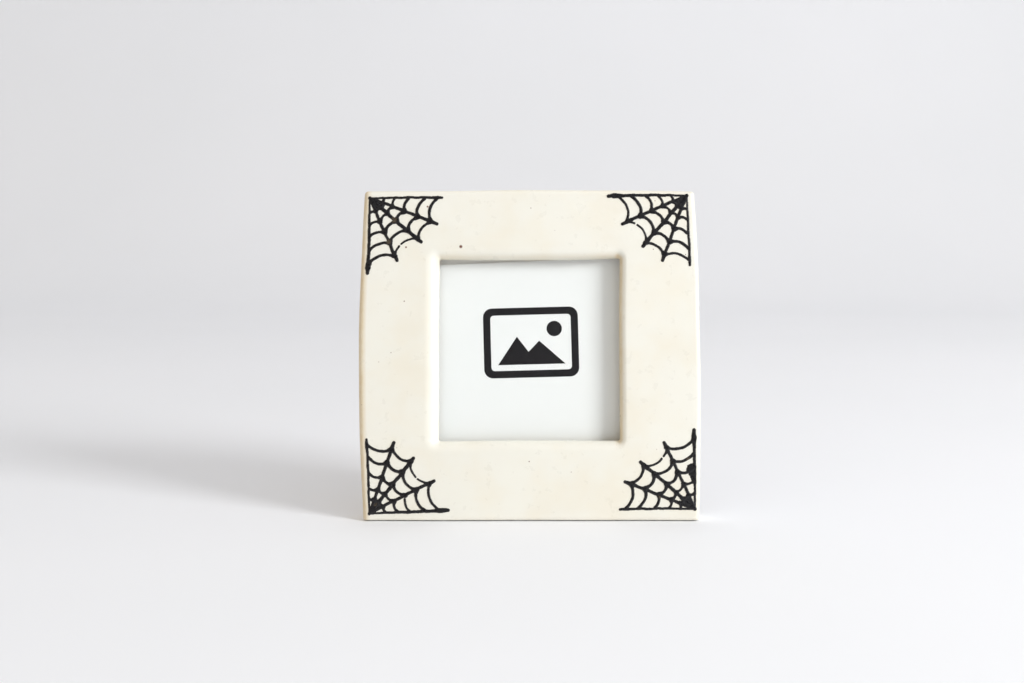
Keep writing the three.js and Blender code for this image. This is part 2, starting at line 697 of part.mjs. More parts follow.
function addHanger() {
  const strapFront = backFace + seatGap;
  const strapBack = strapFront + strapThickness;
  const half = strapWidth / 2;
  const strap = cut(
    join(
      block(-half, half, strapFront, strapBack, strapLow, strapLoopHeight),
      rodAlongX(strapLoopRadius, -half, half, strapLoopDepth, strapLoopHeight),
    ),
    rodAlongX(ringWire + ringClearance, -half - 1, half + 1, strapLoopDepth, strapLoopHeight),
    rivetBore(0, hangerRivetHeight, strapFront, strapBack),
  );
  add(upright, 'hanger_strap', strap, materials.steel);
  const rivetSeat = strapBack + seatGap / 2;
  const hangerRivet = rivet(rivetSeat - boardFront);
  add(upright, 'hanger_rivet', hangerRivet, materials.steel, 0, rivetSeat, hangerRivetHeight);

  // A D of wire round the strap and the rivet, drawn with its straight side on the origin along x.
  const bow = half + ringPlay + ringWire;
  const straightHalf = bow - ringBend;
  const drop = strapLoopHeight - hangerRivetHeight + rivetHeadRadius + ringPlay + ringWire;
  const arc = (x, z, radius, from, to, steps) =>
    new THREE.EllipseCurve(x, z, radius, radius, from, to, true).getPoints(steps);
  const centreline = [
    ...arc(straightHalf, -ringBend, ringBend, Math.PI / 2, 0, cornerSteps),
    ...arc(0, bow - drop, bow, 0, -Math.PI, roundSides / 2),
    ...arc(-straightHalf, -ringBend, ringBend, Math.PI, Math.PI / 2, cornerSteps),
  ];
  const loops = [];
  for (let side = 0; side < wireSides; side += 1) {
    const angle = (side / wireSides) * 2 * Math.PI;
    loops.push(
      centreline.map((point, i) => {
        const before = centreline[(i + centreline.length - 1) % centreline.length];
        const after = centreline[(i + 1) % centreline.length];
        const along = after.clone().sub(before).normalize();
        const out = ringWire * Math.cos(angle);
        const back = -ringWire * Math.sin(angle);
        return new THREE.Vector3(point.x - along.y * out, back, point.y + along.x * out);
      }),
    );
  }
  add(hangerRing, 'hanger_ring', ringSkin(loops), materials.steel);
  hangerRing.position.set(0, strapLoopDepth, strapLoopHeight);
  hangerRing.rotation.x = leanAngle;
}

addFront();
addPocketPieces();
addBackingBoard();
addTurnButtons();
addHingeBracket();
addLeg();
addHanger();

// Leaned back on the floor, with the origin at the middle of the box that it stands in.
upright.rotation.x = -leanAngle;
upright.position.z = footFront.y * Math.sin(leanAngle) - footFront.z * Math.cos(leanAngle);
const frame = new THREE.Group();
frame.add(upright);
frame.updateMatrixWorld(true);
const box = new THREE.Box3().setFromObject(frame, true);
const middle = box.getCenter(new THREE.Vector3());
upright.position.x = -middle.x;
upright.position.y = -middle.y;

export default frame;
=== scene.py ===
"""The looks of a square ceramic photo frame with painted cobwebs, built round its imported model.

The making functions work in millimetres on the frame as it stands upright: x to the right, y from
the front face to the back and z up from the lower edge. settle() leans a finished mesh back, as the
frame stands, and turns it to metres.
"""

import math

import bmesh
import bpy
import numpy as np
from mathutils import Matrix, Vector


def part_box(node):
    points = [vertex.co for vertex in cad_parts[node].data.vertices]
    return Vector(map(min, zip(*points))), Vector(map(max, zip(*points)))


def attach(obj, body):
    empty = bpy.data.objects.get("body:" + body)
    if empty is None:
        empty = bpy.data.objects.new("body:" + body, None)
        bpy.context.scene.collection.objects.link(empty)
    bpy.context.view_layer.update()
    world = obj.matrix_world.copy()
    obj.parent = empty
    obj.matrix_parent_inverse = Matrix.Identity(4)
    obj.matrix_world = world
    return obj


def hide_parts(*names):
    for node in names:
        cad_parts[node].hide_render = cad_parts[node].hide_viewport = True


bl_info = {
    "name": "Ceramic Cobweb Photo Frame",
    "version": (1, 0, 0),
    "blender": (4, 5, 0),
    "location": "3D Viewport > Sidebar > Photo Frame",
    "description": "Builds the glazed body, the cobwebs, the print and the metal of a photo frame",
    "category": "Object",
}

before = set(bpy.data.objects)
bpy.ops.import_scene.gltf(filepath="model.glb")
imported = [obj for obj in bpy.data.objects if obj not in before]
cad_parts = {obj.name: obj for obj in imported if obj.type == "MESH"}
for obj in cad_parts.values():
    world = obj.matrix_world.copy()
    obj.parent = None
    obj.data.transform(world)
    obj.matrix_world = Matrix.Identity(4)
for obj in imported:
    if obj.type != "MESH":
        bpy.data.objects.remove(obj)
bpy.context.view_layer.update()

# The four-sided outline and the sight opening, clockwise from the upper left corner.
OUTLINE_CORNERS = [(-72.6, 144.6), (72.4, 144.6), (73.5, 0.0), (-72.6, 0.0)]
OUTLINE_BOWS = [0.4, 1.9, 0.0, 2.0]
SIGHT_MIDDLE = 75.0
SIGHT_SLOPE = 0.1
SIGHT_BOWS = [-0.7, 0.0, 0.0, 0.0]
STRAIGHT = [0.0, 0.0, 0.0, 0.0]

# Depths behind the front face, and the tilts of the frame and of its leg.
LIP_THICKNESS = 6.5
GLASS_FRONT = 6.8
GLASS_THICKNESS = 2.0
PRINT_FRONT = 9.1
PRINT_THICKNESS = 0.3
BOARD_FRONT = 11.0
BACK_FACE = 13.5
SEAT_GAP = 0.3
LEAN = math.radians(9)
LEG_OPEN = math.radians(20)

# The fastenings on the back. A turn button reaches further from its screw over the board than away.
SCREW_X = 53.0
SCREW_HEIGHTS = {"upper": SIGHT_MIDDLE + 25, "lower": SIGHT_MIDDLE - 25}
BUTTON_REACH = 15.0
BUTTON_TAIL = 5.0
HOLE_RADIUS = 2.92
HOLE_DEPTH = 7.3
RIVET_SPREAD = 6.0
# The sheet that the hinge's bracket and leaf and the hanger's strap are cut from.
SHEET_THICKNESS = 0.8

# The hinge: how far its pin reaches to each side, the outer radius of the leaf's rolled end round
# it, and how far below that end the leaf's rivets lie.
PIN_REACH = 13.8
PIN_RADIUS = 0.9
KNUCKLE_RADIUS = 1.82
LEG_THICKNESS = 2.5
LEAF_RIVET_DROP = 8.5

# The hanger: its strap with a rolled end near the board's top, its rivet and its ring. The
# bracket's rivets lie below it.
BOARD_TOP = SIGHT_MIDDLE + 44.6
STRAP_LOOP_HEIGHT = BOARD_TOP - 3.5
STRAP_LOW = STRAP_LOOP_HEIGHT - 12
STRAP_LOOP_RADIUS = 1.65
HANGER_RIVET_HEIGHT = (STRAP_LOW + STRAP_LOOP_HEIGHT - STRAP_LOOP_RADIUS) / 2
BRACKET_RIVET_HEIGHT = STRAP_LOW - 3 - 6.5
RING_CLEARANCE = 1.0


def linear(code):
    """An sRGB hex colour as the linear red, green, blue and alpha that shaders take."""
    channels = [int(code[i : i + 2], 16) / 255 for i in (1, 3, 5)]
    return tuple(c / 12.92 if c <= 0.04045 else ((c + 0.055) / 1.055) ** 2.4 for c in channels) + (1.0,)


def colour_property(name, description, code):
    """A colour that a user may change, given by its sRGB hex code."""
    return bpy.props.FloatVectorProperty(
        name=name,
        description=description,
        subtype="COLOR",
        size=4,
        min=0.0,
        max=1.0,
        default=linear(code),
    )


def number_property(name, description, default, **more):
    """A number that a user may change."""
    return bpy.props.FloatProperty(name=name, description=description, default=default, **more)


def length_property(name, description, millimetres):
    """A length that a user may change, in metres, given in millimetres."""
    return number_property(name, description, millimetres / 1000, unit="LENGTH", precision=5, min=0.0)


class PhotoFrameCeramic(bpy.types.PropertyGroup):
    """Sizes of the glazed body."""

    corner_radius: length_property("Corner Radius", "Round of the outline's corners", 1.8)
    front_round: length_property("Front Edge Round", "Round from the face to the sides", 2.0)
    back_round: length_property("Back Edge Round", "Round from the sides to the back", 1.2)
    sight_width: length_property("Opening Width", "Width of the opening", 79.5)
    sight_height: length_property("Opening Height", "Height of the opening", 80.2)
    sight_round: length_property("Opening Round", "Width of the soft edge round it", 5.0)
    sight_depth: length_property("Opening Round Depth", "Depth of that soft edge", 4.5)
    pocket_lip: length_property("Lip", "How far the lip reaches over the glass", 5.0)
    waviness: length_property("Waviness", "Unevenness that the hands left in the clay", 0.12)


class PhotoFrameCobweb(bpy.types.PropertyGroup):
    """Sizes of the painted cobwebs."""

    size: length_property("Size", "Length of the first thread", 31.7)
    thread_width: length_property("Thread Width", "Usual width of a thread", 1.4)
    ring_width: length_property("Ring Width", "Usual width of a ring", 1.2)
    relief: length_property("Relief", "Height of the enamel over the glaze", 0.34)
    grain: length_property("Grain", "Size of the cells the enamel is shaped in", 0.17)
    wander: length_property("Wander", "How far a line strays from its path", 0.22)


class PhotoFramePrint(bpy.types.PropertyGroup):
    """Sizes of the stand-in picture on the print."""

    width: length_property("Picture Width", "Outer width of the printed picture sign", 42.0)
    height: length_property("Picture Height", "Outer height of the printed picture sign", 31.0)
    line: length_property("Border Line", "Thickness of its printed border", 3.2)
    sun_radius: length_property("Sun Radius", "Radius of the sun in the sign", 3.4)


class PhotoFrameMetal(bpy.types.PropertyGroup):
    """Sizes of the fastenings and the sheet metal."""

    button_thickness: length_property("Button Thickness", "Thickness of a turn button", 1.0)
    button_width: length_property("Button Width", "Width of a turn button", 8.0)
    screw_head_radius: length_property("Screw Head Radius", "Radius of a button's screw", 2.8)
    rivet_head_radius: length_property("Rivet Head Radius", "Radius of a rivet's dome", 2.3)
    wire_radius: length_property("Wire Radius", "Radius of the hanging ring's wire", 0.7)
    edge_round: length_property("Sheet Edge Round", "Round on the edges of sheet metal", 0.18)


class PhotoFrameFinish(bpy.types.PropertyGroup):
    """Colours of the finishes."""

    glaze: colour_property("Glaze", "Cream glaze where it is thick", "#ecebe2")
    glaze_warm: colour_property("Warm Glaze", "The glaze's warmer clouds", "#eae5d6")
    # The tan of thin glaze over the edges, also laid on as painted shade on the edges that face away from
    # the key light.
    glaze_thin: colour_property("Thin Glaze", "Glaze over the edges, where the clay shows", "#d2b98c")
    speck: colour_property("Iron Speck", "Iron specks burnt through the glaze", "#63290c")
    clay: colour_property("Clay", "Bare fired clay", "#d3bf9f")
    enamel: colour_property("Enamel", "Black enamel", "#151417")
    # Also the colour of the painted highlight on the lower right web.
    enamel_worn: colour_property("Worn Enamel", "Enamel that is thin over the glaze", "#6a5d4c")
    paper: colour_property("Paper", "White print paper", "#fafbfb")
    ink: colour_property("Ink", "Black printing ink", "#151317")
    card: colour_property("Card", "Off-white filler card", "#fbfaf8")
    flock: colour_property("Flock", "Black flock on the boards", "#1d1c1e")
    fibre: colour_property("Fibreboard", "Cut edges of the boards", "#5d452e")
    nickel: colour_property("Nickel", "Nickel plating", "#bdb8af")
    brass: colour_property("Brass", "Turned brass", "#cfa85a")
    glass: colour_property("Glass", "Clear float glass", "#fdfefe")
    floor: colour_property("Floor", "Pale floor", "#f5f7fc")


class PhotoFrameStudio(bpy.types.PropertyGroup):
    """The stage, its lights and the camera."""

    floor_size: number_property("Floor Size", "Side of the square floor", 9.0, unit="LENGTH", min=1.0)
    wall_distance: number_property(
        "Wall Distance",
        "How far behind the frame the floor starts to sweep up",
        1.1,
        unit="LENGTH",
        min=0.1,
    )
    key_power: number_property(
        "Key Power", "Strength of the soft light on the right", 26.3, unit="POWER", min=0.0
    )
    key_size: number_property(
        "Key Size", "Side of the soft light on the right", 0.6, unit="LENGTH", min=0.01
    )
    wall_power: number_property(
        "Wall Light Power", "Strength of the light on the back wall", 1.0, unit="POWER", min=0.0
    )
    sky_strength: number_property(
        "Room Strength", "Strength of the even light from the room", 0.84, min=0.0
    )
    lens: number_property("Lens", "Focal length on a 36 mm wide sensor", 50.0, unit="CAMERA", min=1.0)
    camera_tilt: number_property(
        "Camera Tilt",
        "How far the camera looks down",
        math.radians(6),
        subtype="ANGLE",
        unit="ROTATION",
    )
    camera_place: bpy.props.FloatVectorProperty(
        name="Camera Place",
        description="Where the camera stands",
        subtype="TRANSLATION",
        unit="LENGTH",
        size=3,
        precision=4,
        default=(-0.0077, -0.6280, 0.1422),
    )


class PhotoFrameSettings(bpy.types.PropertyGroup):
    """All settings of the photo frame."""

    ceramic: bpy.props.PointerProperty(type=PhotoFrameCeramic)
    cobweb: bpy.props.PointerProperty(type=PhotoFrameCobweb)
    print_sheet: bpy.props.PointerProperty(type=PhotoFramePrint)
    metal: bpy.props.PointerProperty(type=PhotoFrameMetal)
    finish: bpy.props.PointerProperty(type=PhotoFrameFinish)
    studio: bpy.props.PointerProperty(type=PhotoFrameStudio)


def settings():
    """The photo frame's settings in this scene."""
    return bpy.context.scene.photo_frame


def mm(length):
    """A property's length, which is in metres, in millimetres."""
    return length * 1000


# The upright frame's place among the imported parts, from where the glass pane lies.
LEANING = Matrix.Rotation(-LEAN, 4, "X")
pane_low, pane_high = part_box("glass_pane")
PANE_MIDDLE = Vector((0, GLASS_FRONT + GLASS_THICKNESS / 2, SIGHT_MIDDLE))
UPRIGHT = Matrix.Translation((pane_low + pane_high) * 500 - LEANING @ PANE_MIDDLE) @ LEANING
pin_low, pin_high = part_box("hinge_pin")
HINGE = UPRIGHT.inverted() @ ((pin_low + pin_high) * 500)
LEG = UPRIGHT @ Matrix.Translation(HINGE) @ Matrix.Rotation(LEG_OPEN, 4, "X")


def settle(mesh, place=UPRIGHT):
    """Leans a mesh in millimetres back to where it stands, in metres."""
    mesh.transform(Matrix.Scale(0.001, 4) @ place)
    return mesh


def face_outwards(mesh):
    """Turns a closed mesh the right way out."""
    work = bmesh.new()
    work.from_mesh(mesh)
    if work.calc_volume(signed=True) < 0:
        bmesh.ops.reverse_faces(work, faces=work.faces)
    return to_mesh(work, mesh)


def to_mesh(work, mesh):
    """Puts what was made into a mesh, which may be given by a new name."""
    if isinstance(mesh, str):
        mesh = bpy.data.meshes.new(mesh)
    work.to_mesh(mesh)
    work.free()
    return mesh


def smooth(mesh, degrees):
    """Shades a mesh smooth, apart from edges that are sharper than this angle."""
    mesh.shade_smooth()
    mesh.set_sharp_from_angle(angle=math.radians(degrees))
    return mesh


def read_places(mesh):
    """The places of a mesh's points, as rows of x, y and z."""
    places = np.empty(len(mesh.vertices) * 3)
    mesh.vertices.foreach_get("co", places)
    return places.reshape(-1, 3)


def mark(mesh, name, domain, values):
    """Stores a number with each point or face of a mesh."""
    mesh.attributes.new(name, "FLOAT", domain).data.foreach_set("value", values)


def quarter(steps):
    """The cosines and sines of the angles that divide a quarter turn into so many steps."""
    angles = [math.pi / 2 * k / steps for k in range(steps + 1)]
    return [(math.cos(angle), math.sin(angle)) for angle in angles]


def carry(name, data):
    """An object in the scene that carries a mesh, a curve, a light or a camera."""
    carrier = bpy.data.objects.new(name, data)
    bpy.context.scene.collection.objects.link(carrier)
    return carrier


def bake(carrier):
    """What a carrier's modifiers or its curve make, as a plain mesh, in place of the carrier."""
    graph = bpy.context.evaluated_depsgraph_get()
    made = bpy.data.meshes.new_from_object(carrier.evaluated_get(graph), depsgraph=graph)
    carrier.modifiers.clear()
    bpy.data.objects.remove(carrier)
    return made


def place_piece(name, mesh, body, slot, replaced, finish=None):
    """Puts a finished mesh in the scene, on its body and in place of the nodes it stands for."""
    mesh.name = name
    mesh.materials.clear()
    mesh.materials.append(finish_for(finish or slot))
    piece = carry(name, mesh)
    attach(piece, body)
    if replaced:
        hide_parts(*replaced)


def dress_node(name, slot):
    """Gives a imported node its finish."""
    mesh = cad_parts[name].data
    mesh.materials.clear()
    mesh.materials.append(finish_for(slot))


def add_node(tree, kind, *values, take=None, **named):
    """Adds a node and gives its output called take, or else the first one in use.

    The values go to its inputs in use, in their order. Of the names, those in small letters are the
    node's settings and the others are inputs, with _ for a space. An output that is given for an
    input is linked to it, and so is each one in a list.
    """
    node = tree.nodes.new(kind)
    for name in filter(str.islower, named):
        setattr(node, name, named[name])
    inputs = list(zip([socket for socket in node.inputs if socket.enabled], values))
    for name, value in named.items():
        if not name.islower():
            inputs.append((node.inputs[name.replace("_", " ")], value))
    for socket, value in inputs:
        if isinstance(value, (bpy.types.NodeSocket, list)):
            for output in value if isinstance(value, list) else [value]:
                tree.links.new(output, socket)
        else:
            socket.default_value = value
    if take:
        return node.outputs[take]
    return next((socket for socket in node.outputs if socket.enabled), None)


def per_mm(size):
    """The texture scale whose pattern repeats about every so many millimetres."""
    return 1000 / size


# The setting of a Map Range node that makes it ease in and out.
EASED = {"interpolation_type": "SMOOTHSTEP"}


def start_material(name):
    """A new material and its empty node tree."""
    material = bpy.data.materials.new(name)
    material.use_nodes = True
    tree = material.node_tree
    tree.nodes.clear()
    return material, tree


def spot_share(tree, place, x, z, radius, strength):
    """A soft round spot of a material, at a place on the frame's face and of a radius in mm."""
    middle = (UPRIGHT @ Vector((x, 0, z))) / 1000
    away = add_node(tree, "ShaderNodeVectorMath", place, middle, operation="DISTANCE")
    reach = radius / 1000
    return add_node(tree, "ShaderNodeMapRange", away, 0.4 * reach, 1.1 * reach, strength, 0.0, **EASED)


def iron_specks(tree, place):
    """How much of each place on the glaze is an iron speck, from 0 to 1."""
    # Iron specks of about 0.3 mm and a fine pepper of 0.1 mm, each in some cells of its own size.
    spots = []
    for cell, reach, chosen, strength in ((7.0, 0.3, 0.55, 0.75), (2.4, 0.1, 0.72, 0.4)):
        away = add_node(tree, "ShaderNodeTexVoronoi", Vector=place, Scale=per_mm(cell))
        near, far = 0.6 * reach / cell, reach / cell
        spot = add_node(tree, "ShaderNodeMapRange", away, near, far, strength, 0.0, **EASED)
        luck = add_node(tree, "ShaderNodeSeparateColor", away.node.outputs["Color"])
        picked = add_node(tree, "ShaderNodeMath", luck, chosen, operation="GREATER_THAN")
        spots.append(add_node(tree, "ShaderNodeMath", spot, picked, operation="MULTIPLY"))
    # The larger specks, at their places on the face: x, z and radius in mm.
    for x, z, radius in (
        (-30.1, 119.9, 0.88), (-54.1, 119.6, 0.52), (-44.7, 137.5, 0.52), (-54.8, 95.9, 0.42),
        (-60.5, 73.4, 0.33), (-0.2, 26.0, 0.36), (0.6, 136.9, 0.33),
    ):
        spots.append(spot_share(tree, place, x, z, radius, 0.95))
    specks = spots[0]
    for spot in spots[1:]:
        specks = add_node(tree, "ShaderNodeMath", specks, spot, operation="MAXIMUM")
    return specks


def glazed_stoneware(name):
    """Buff stoneware in a cream satin glaze, brushed on and fired.

    The eye sees soft warm clouds, iron specks, pinholes, a tan line where the glaze is thin over the
    edges, the same tan as painted shade on the edges that face away from the key light, and rough bare
    clay behind and underneath, where it was wiped off.
    """
    finish = settings().finish
    material, tree = start_material(name)
    place = add_node(tree, "ShaderNodeTexCoord", take="Object")
    # Clouds about 26 mm wide and a finer mottle, about 5 mm.
    clouds = add_node(
        tree, "ShaderNodeTexNoise", Vector=place, Scale=per_mm(26), Detail=3.0, Roughness=0.55
    )
    mottle = add_node(
        tree, "ShaderNodeTexNoise", Vector=place, Scale=per_mm(5), Detail=4.0, Roughness=0.6
    )
    cloud_share = add_node(tree, "ShaderNodeMapRange", clouds, 0.38, 0.74, 0.0, 0.8, **EASED)
    mottle_share = add_node(tree, "ShaderNodeMapRange", mottle, 0.35, 0.85, 0.0, 0.1, **EASED)
    warmth = add_node(tree, "ShaderNodeMath", cloud_share, mottle_share, operation="MAXIMUM")
    body = add_node(tree, "ShaderNodeMix", warmth, finish.glaze, finish.glaze_warm, data_type="RGBA")
    # The glaze thins over the edges, unevenly. The same tan also stands as painted shade on the edges
    # that face away from the key light.
    thin = add_node(tree, "ShaderNodeAttribute", attribute_name="thin_glaze", take="Fac")
    uneven = add_node(tree, "ShaderNodeMapRange", mottle, 0.3, 0.7, 0.62, 1.0)
    thin_glaze_and_shade_share = add_node(tree, "ShaderNodeMath", thin, uneven, operation="MULTIPLY")
    body = add_node(tree, "ShaderNodeMix", thin_glaze_and_shade_share, body, finish.glaze_thin, data_type="RGBA")
    specks = iron_specks(tree, place)
    body = add_node(tree, "ShaderNodeMix", specks, body, finish.speck, data_type="RGBA")
    # Bare clay, with sandy grains of about 0.6 mm, behind an uneven glaze line.
    grit = add_node(
        tree, "ShaderNodeTexNoise", Vector=place, Scale=per_mm(0.6), Detail=3.0, Roughness=0.7
    )
    grit_light = add_node(tree, "ShaderNodeMapRange", grit, 0.3, 0.7, -0.1, 0.12)
    lift = add_node(tree, "ShaderNodeMath", grit_light, 1.0, operation="ADD")
    clay = add_node(tree, "ShaderNodeVectorMath", finish.clay[:3], lift, operation="SCALE")
    glazed = add_node(tree, "ShaderNodeAttribute", attribute_name="glazed", take="Fac")
    line = add_node(tree, "ShaderNodeMath", mottle, 0.7, -0.35, operation="MULTIPLY_ADD")
    line = add_node(tree, "ShaderNodeMath", line, glazed, operation="ADD")
    covered = add_node(tree, "ShaderNodeMapRange", line, 0.44, 0.56, **EASED)
    colour = add_node(tree, "ShaderNodeMix", covered, clay, body, data_type="RGBA")
    # Satin gloss that varies a little, and dry clay.
    gloss = add_node(tree, "ShaderNodeMapRange", mottle, 0.3, 0.7, 0.26, 0.34)
    roughness = add_node(tree, "ShaderNodeMix", covered, 0.92, gloss, data_type="FLOAT")
    # The glaze's faint ripple, its pinholes of about 0.25 mm, and the clay's grain.
    ripple = add_node(
        tree, "ShaderNodeTexNoise", Vector=place, Scale=per_mm(3.2), Detail=2.0, Roughness=0.4
    )
    holes = add_node(tree, "ShaderNodeTexVoronoi", Vector=place, Scale=per_mm(4.5))
    pinholes = add_node(tree, "ShaderNodeMapRange", holes, 0.02, 0.055, -1.5, 0.0, **EASED)
    relief = add_node(tree, "ShaderNodeMath", ripple, 0.5, pinholes, operation="MULTIPLY_ADD")
    height = add_node(tree, "ShaderNodeMix", covered, grit, relief, data_type="FLOAT")
    normal = add_node(tree, "ShaderNodeBump", Height=height, Strength=0.55, Distance=0.00012)
    shader = add_node(
        tree, "ShaderNodeBsdfPrincipled", Base_Color=colour, Roughness=roughness, Normal=normal, IOR=1.5
    )
    add_node(tree, "ShaderNodeOutputMaterial", Surface=shader)
    return material


def black_enamel(name):
    """Black overglaze enamel, trailed on by hand and fired glossy.

    The eye sees bright soft highlights along the raised lines, brown where it is thin or rubbed through,
    and two lighter spots in the lower right web that are a painted highlight for its sheen.
    """
    finish = settings().finish
    material, tree = start_material(name)
    place = add_node(tree, "ShaderNodeTexCoord", take="Object")
    # Worn places about 6 mm apart, and a mottle of 1 mm in the gloss.
    patches = add_node(
        tree, "ShaderNodeTexNoise", Vector=place, Scale=per_mm(6), Detail=4.0, Roughness=0.65
    )
    worn_and_sheen = add_node(tree, "ShaderNodeMapRange", patches, 0.66, 0.76, 0.0, 0.8, **EASED)
    # Where threads and rings meet, rubbed places at x, z and of a radius in mm. The two in the upper left
    # are wear; the two in the lower right are a painted highlight, the enamel's sheen laid on in the
    # same lighter colour.
    for x, z, radius in ((-59.4, 131.7, 1.7), (-61.7, 122.0, 1.4), (69.0, 27.0, 1.2), (59.5, 20.5, 1.0)):
        spot = spot_share(tree, place, x, z, radius, 0.85)
        spot = add_node(tree, "ShaderNodeMath", spot, patches, operation="MULTIPLY")
        worn_and_sheen = add_node(tree, "ShaderNodeMath", worn_and_sheen, spot, operation="MAXIMUM")
    colour = add_node(tree, "ShaderNodeMix", worn_and_sheen, finish.enamel, finish.enamel_worn, data_type="RGBA")
    mottle = add_node(tree, "ShaderNodeTexNoise", Vector=place, Scale=per_mm(1.1), Detail=2.0)
    roughness = add_node(tree, "ShaderNodeMapRange", mottle, 0.3, 0.7, 0.2, 0.42)
    normal = add_node(tree, "ShaderNodeBump", Height=mottle, Strength=0.5, Distance=0.00008)
    shader = add_node(
        tree, "ShaderNodeBsdfPrincipled", Base_Color=colour, Roughness=roughness, Normal=normal, IOR=1.5
    )
    add_node(tree, "ShaderNodeOutputMaterial", Surface=shader)
    return material


def float_glass(name):
    """Clear float glass. The eye sees the print through it and a faint mirror image of the room.

    Light for the print behind it passes straight through.
    """
    colour = settings().finish.glass
    material, tree = start_material(name)
    shader = add_node(
        tree, "ShaderNodeBsdfPrincipled", Base_Color=colour, Roughness=0.01, IOR=1.5,
        Transmission_Weight=1.0
    )
    clear = add_node(tree, "ShaderNodeBsdfTransparent", Color=colour)
    ray = add_node(tree, "ShaderNodeLightPath").node.outputs
    lighting = add_node(
        tree, "ShaderNodeMath", ray["Is Shadow Ray"], ray["Is Diffuse Ray"], operation="MAXIMUM"
    )
    both = add_node(tree, "ShaderNodeMixShader", lighting, shader, clear)
    add_node(tree, "ShaderNodeOutputMaterial", Surface=both)
    return material


def coated_sheet(name, colour, tint, roughness, fibre, ior=1.5, depth=0.01):
    """Paper, card or a printed ink on it: an even sheet with fibres of the given size in mm.

    The eye sees a matt face with a faint grain and slight clouds.
    """
    material, tree = start_material(name)
    place = add_node(tree, "ShaderNodeTexCoord", take="Object")
    fibres = add_node(
        tree, "ShaderNodeTexNoise", Vector=place, Scale=per_mm(fibre), Detail=4.0, Roughness=0.7
    )
    clouds = add_node(tree, "ShaderNodeTexNoise", Vector=place, Scale=per_mm(18), Detail=2.0)
    share = add_node(tree, "ShaderNodeMath", fibres, clouds, operation="MULTIPLY")
    base = add_node(tree, "ShaderNodeMix", share, colour, linear(tint), data_type="RGBA")
    normal = add_node(tree, "ShaderNodeBump", Height=fibres, Strength=0.4, Distance=depth / 1000)
    shader = add_node(
        tree, "ShaderNodeBsdfPrincipled", Base_Color=base, Roughness=roughness, Normal=normal, IOR=ior
    )
    add_node(tree, "ShaderNodeOutputMaterial", Surface=shader)
    return material


def flocked_fibreboard(name):
    """Fibreboard covered in black flock, cut to shape.

    The eye sees a deep, dull black nap with a little dust, and brown fibres on the cut edges.
    """
    finish = settings().finish
    material, tree = start_material(name)
    place = add_node(tree, "ShaderNodeTexCoord", take="Object")
    # Tufts of about 0.35 mm, coarser than real flock so that they show.
    nap = add_node(
        tree, "ShaderNodeTexNoise", Vector=place, Scale=per_mm(0.35), Detail=3.0, Roughness=0.75
    )
    brushed = add_node(
        tree, "ShaderNodeTexNoise", Vector=place, Scale=per_mm(14), Detail=3.0, Distortion=0.6
    )
    lift = add_node(tree, "ShaderNodeMath", nap, 1.2, 0.1, operation="MULTIPLY_ADD")
    lift = add_node(tree, "ShaderNodeMath", brushed, 0.9, lift, operation="MULTIPLY_ADD")
    flock = add_node(tree, "ShaderNodeVectorMath", finish.flock[:3], lift, operation="SCALE")
    dust_cells = add_node(tree, "ShaderNodeTexVoronoi", Vector=place, Scale=per_mm(3.5))
    dust = add_node(tree, "ShaderNodeMapRange", dust_cells, 0.02, 0.06, 0.35, 0.0)
    flock = add_node(tree, "ShaderNodeMix", dust, flock, linear("#8f8a84"), data_type="RGBA")
    # Pressed wood fibres, about 0.8 mm long, on the cut edges.
    fibres = add_node(
        tree, "ShaderNodeTexNoise", Vector=place, Scale=per_mm(0.8), Detail=4.0, Roughness=0.7
    )
    cut = add_node(tree, "ShaderNodeMix", fibres, finish.fibre, linear("#8a6b48"), data_type="RGBA")
    cut_edge = add_node(tree, "ShaderNodeAttribute", attribute_name="cut_edge", take="Fac")
    colour = add_node(tree, "ShaderNodeMix", cut_edge, flock, cut, data_type="RGBA")
    normal = add_node(tree, "ShaderNodeBump", Height=nap, Strength=0.8, Distance=0.0002)
    shader = add_node(
        tree, "ShaderNodeBsdfPrincipled", Base_Color=colour, Roughness=0.95, Normal=normal,
        Sheen_Weight=0.25
    )
    add_node(tree, "ShaderNodeOutputMaterial", Surface=shader)
    return material


def worked_metal(name, colour, shadow, low, high, stretch):
    """Plated or turned metal, with a fine drawn grain and faint handling marks.

    The eye sees soft streaks in the highlights and slightly duller patches.
    """
    material, tree = start_material(name)
    place = add_node(tree, "ShaderNodeTexCoord", take="Object")
    # A drawn grain of about 0.25 mm, stretched along one way, coarser than real so that it shows.
    along = add_node(tree, "ShaderNodeMapping", Vector=place, Scale=stretch)
    grain = add_node(tree, "ShaderNodeTexNoise", Vector=along, Scale=per_mm(0.25), Detail=2.0)
    patches = add_node(
        tree, "ShaderNodeTexNoise", Vector=place, Scale=per_mm(3.5), Detail=4.0, Roughness=0.65
    )
    dull = add_node(tree, "ShaderNodeMapRange", patches, 0.45, 0.8, 0.0, 0.6)
    base = add_node(tree, "ShaderNodeMix", dull, colour, linear(shadow), data_type="RGBA")
    mixed = add_node(tree, "ShaderNodeMath", grain, 0.5, patches, operation="MULTIPLY_ADD")
    roughness = add_node(tree, "ShaderNodeMapRange", mixed, 0.45, 1.1, low, high)
    normal = add_node(tree, "ShaderNodeBump", Height=grain, Strength=0.25, Distance=0.00002)
    shader = add_node(
        tree, "ShaderNodeBsdfPrincipled", Base_Color=base, Metallic=1.0, Roughness=roughness,
        Normal=normal
    )
    add_node(tree, "ShaderNodeOutputMaterial", Surface=shader)
    return material


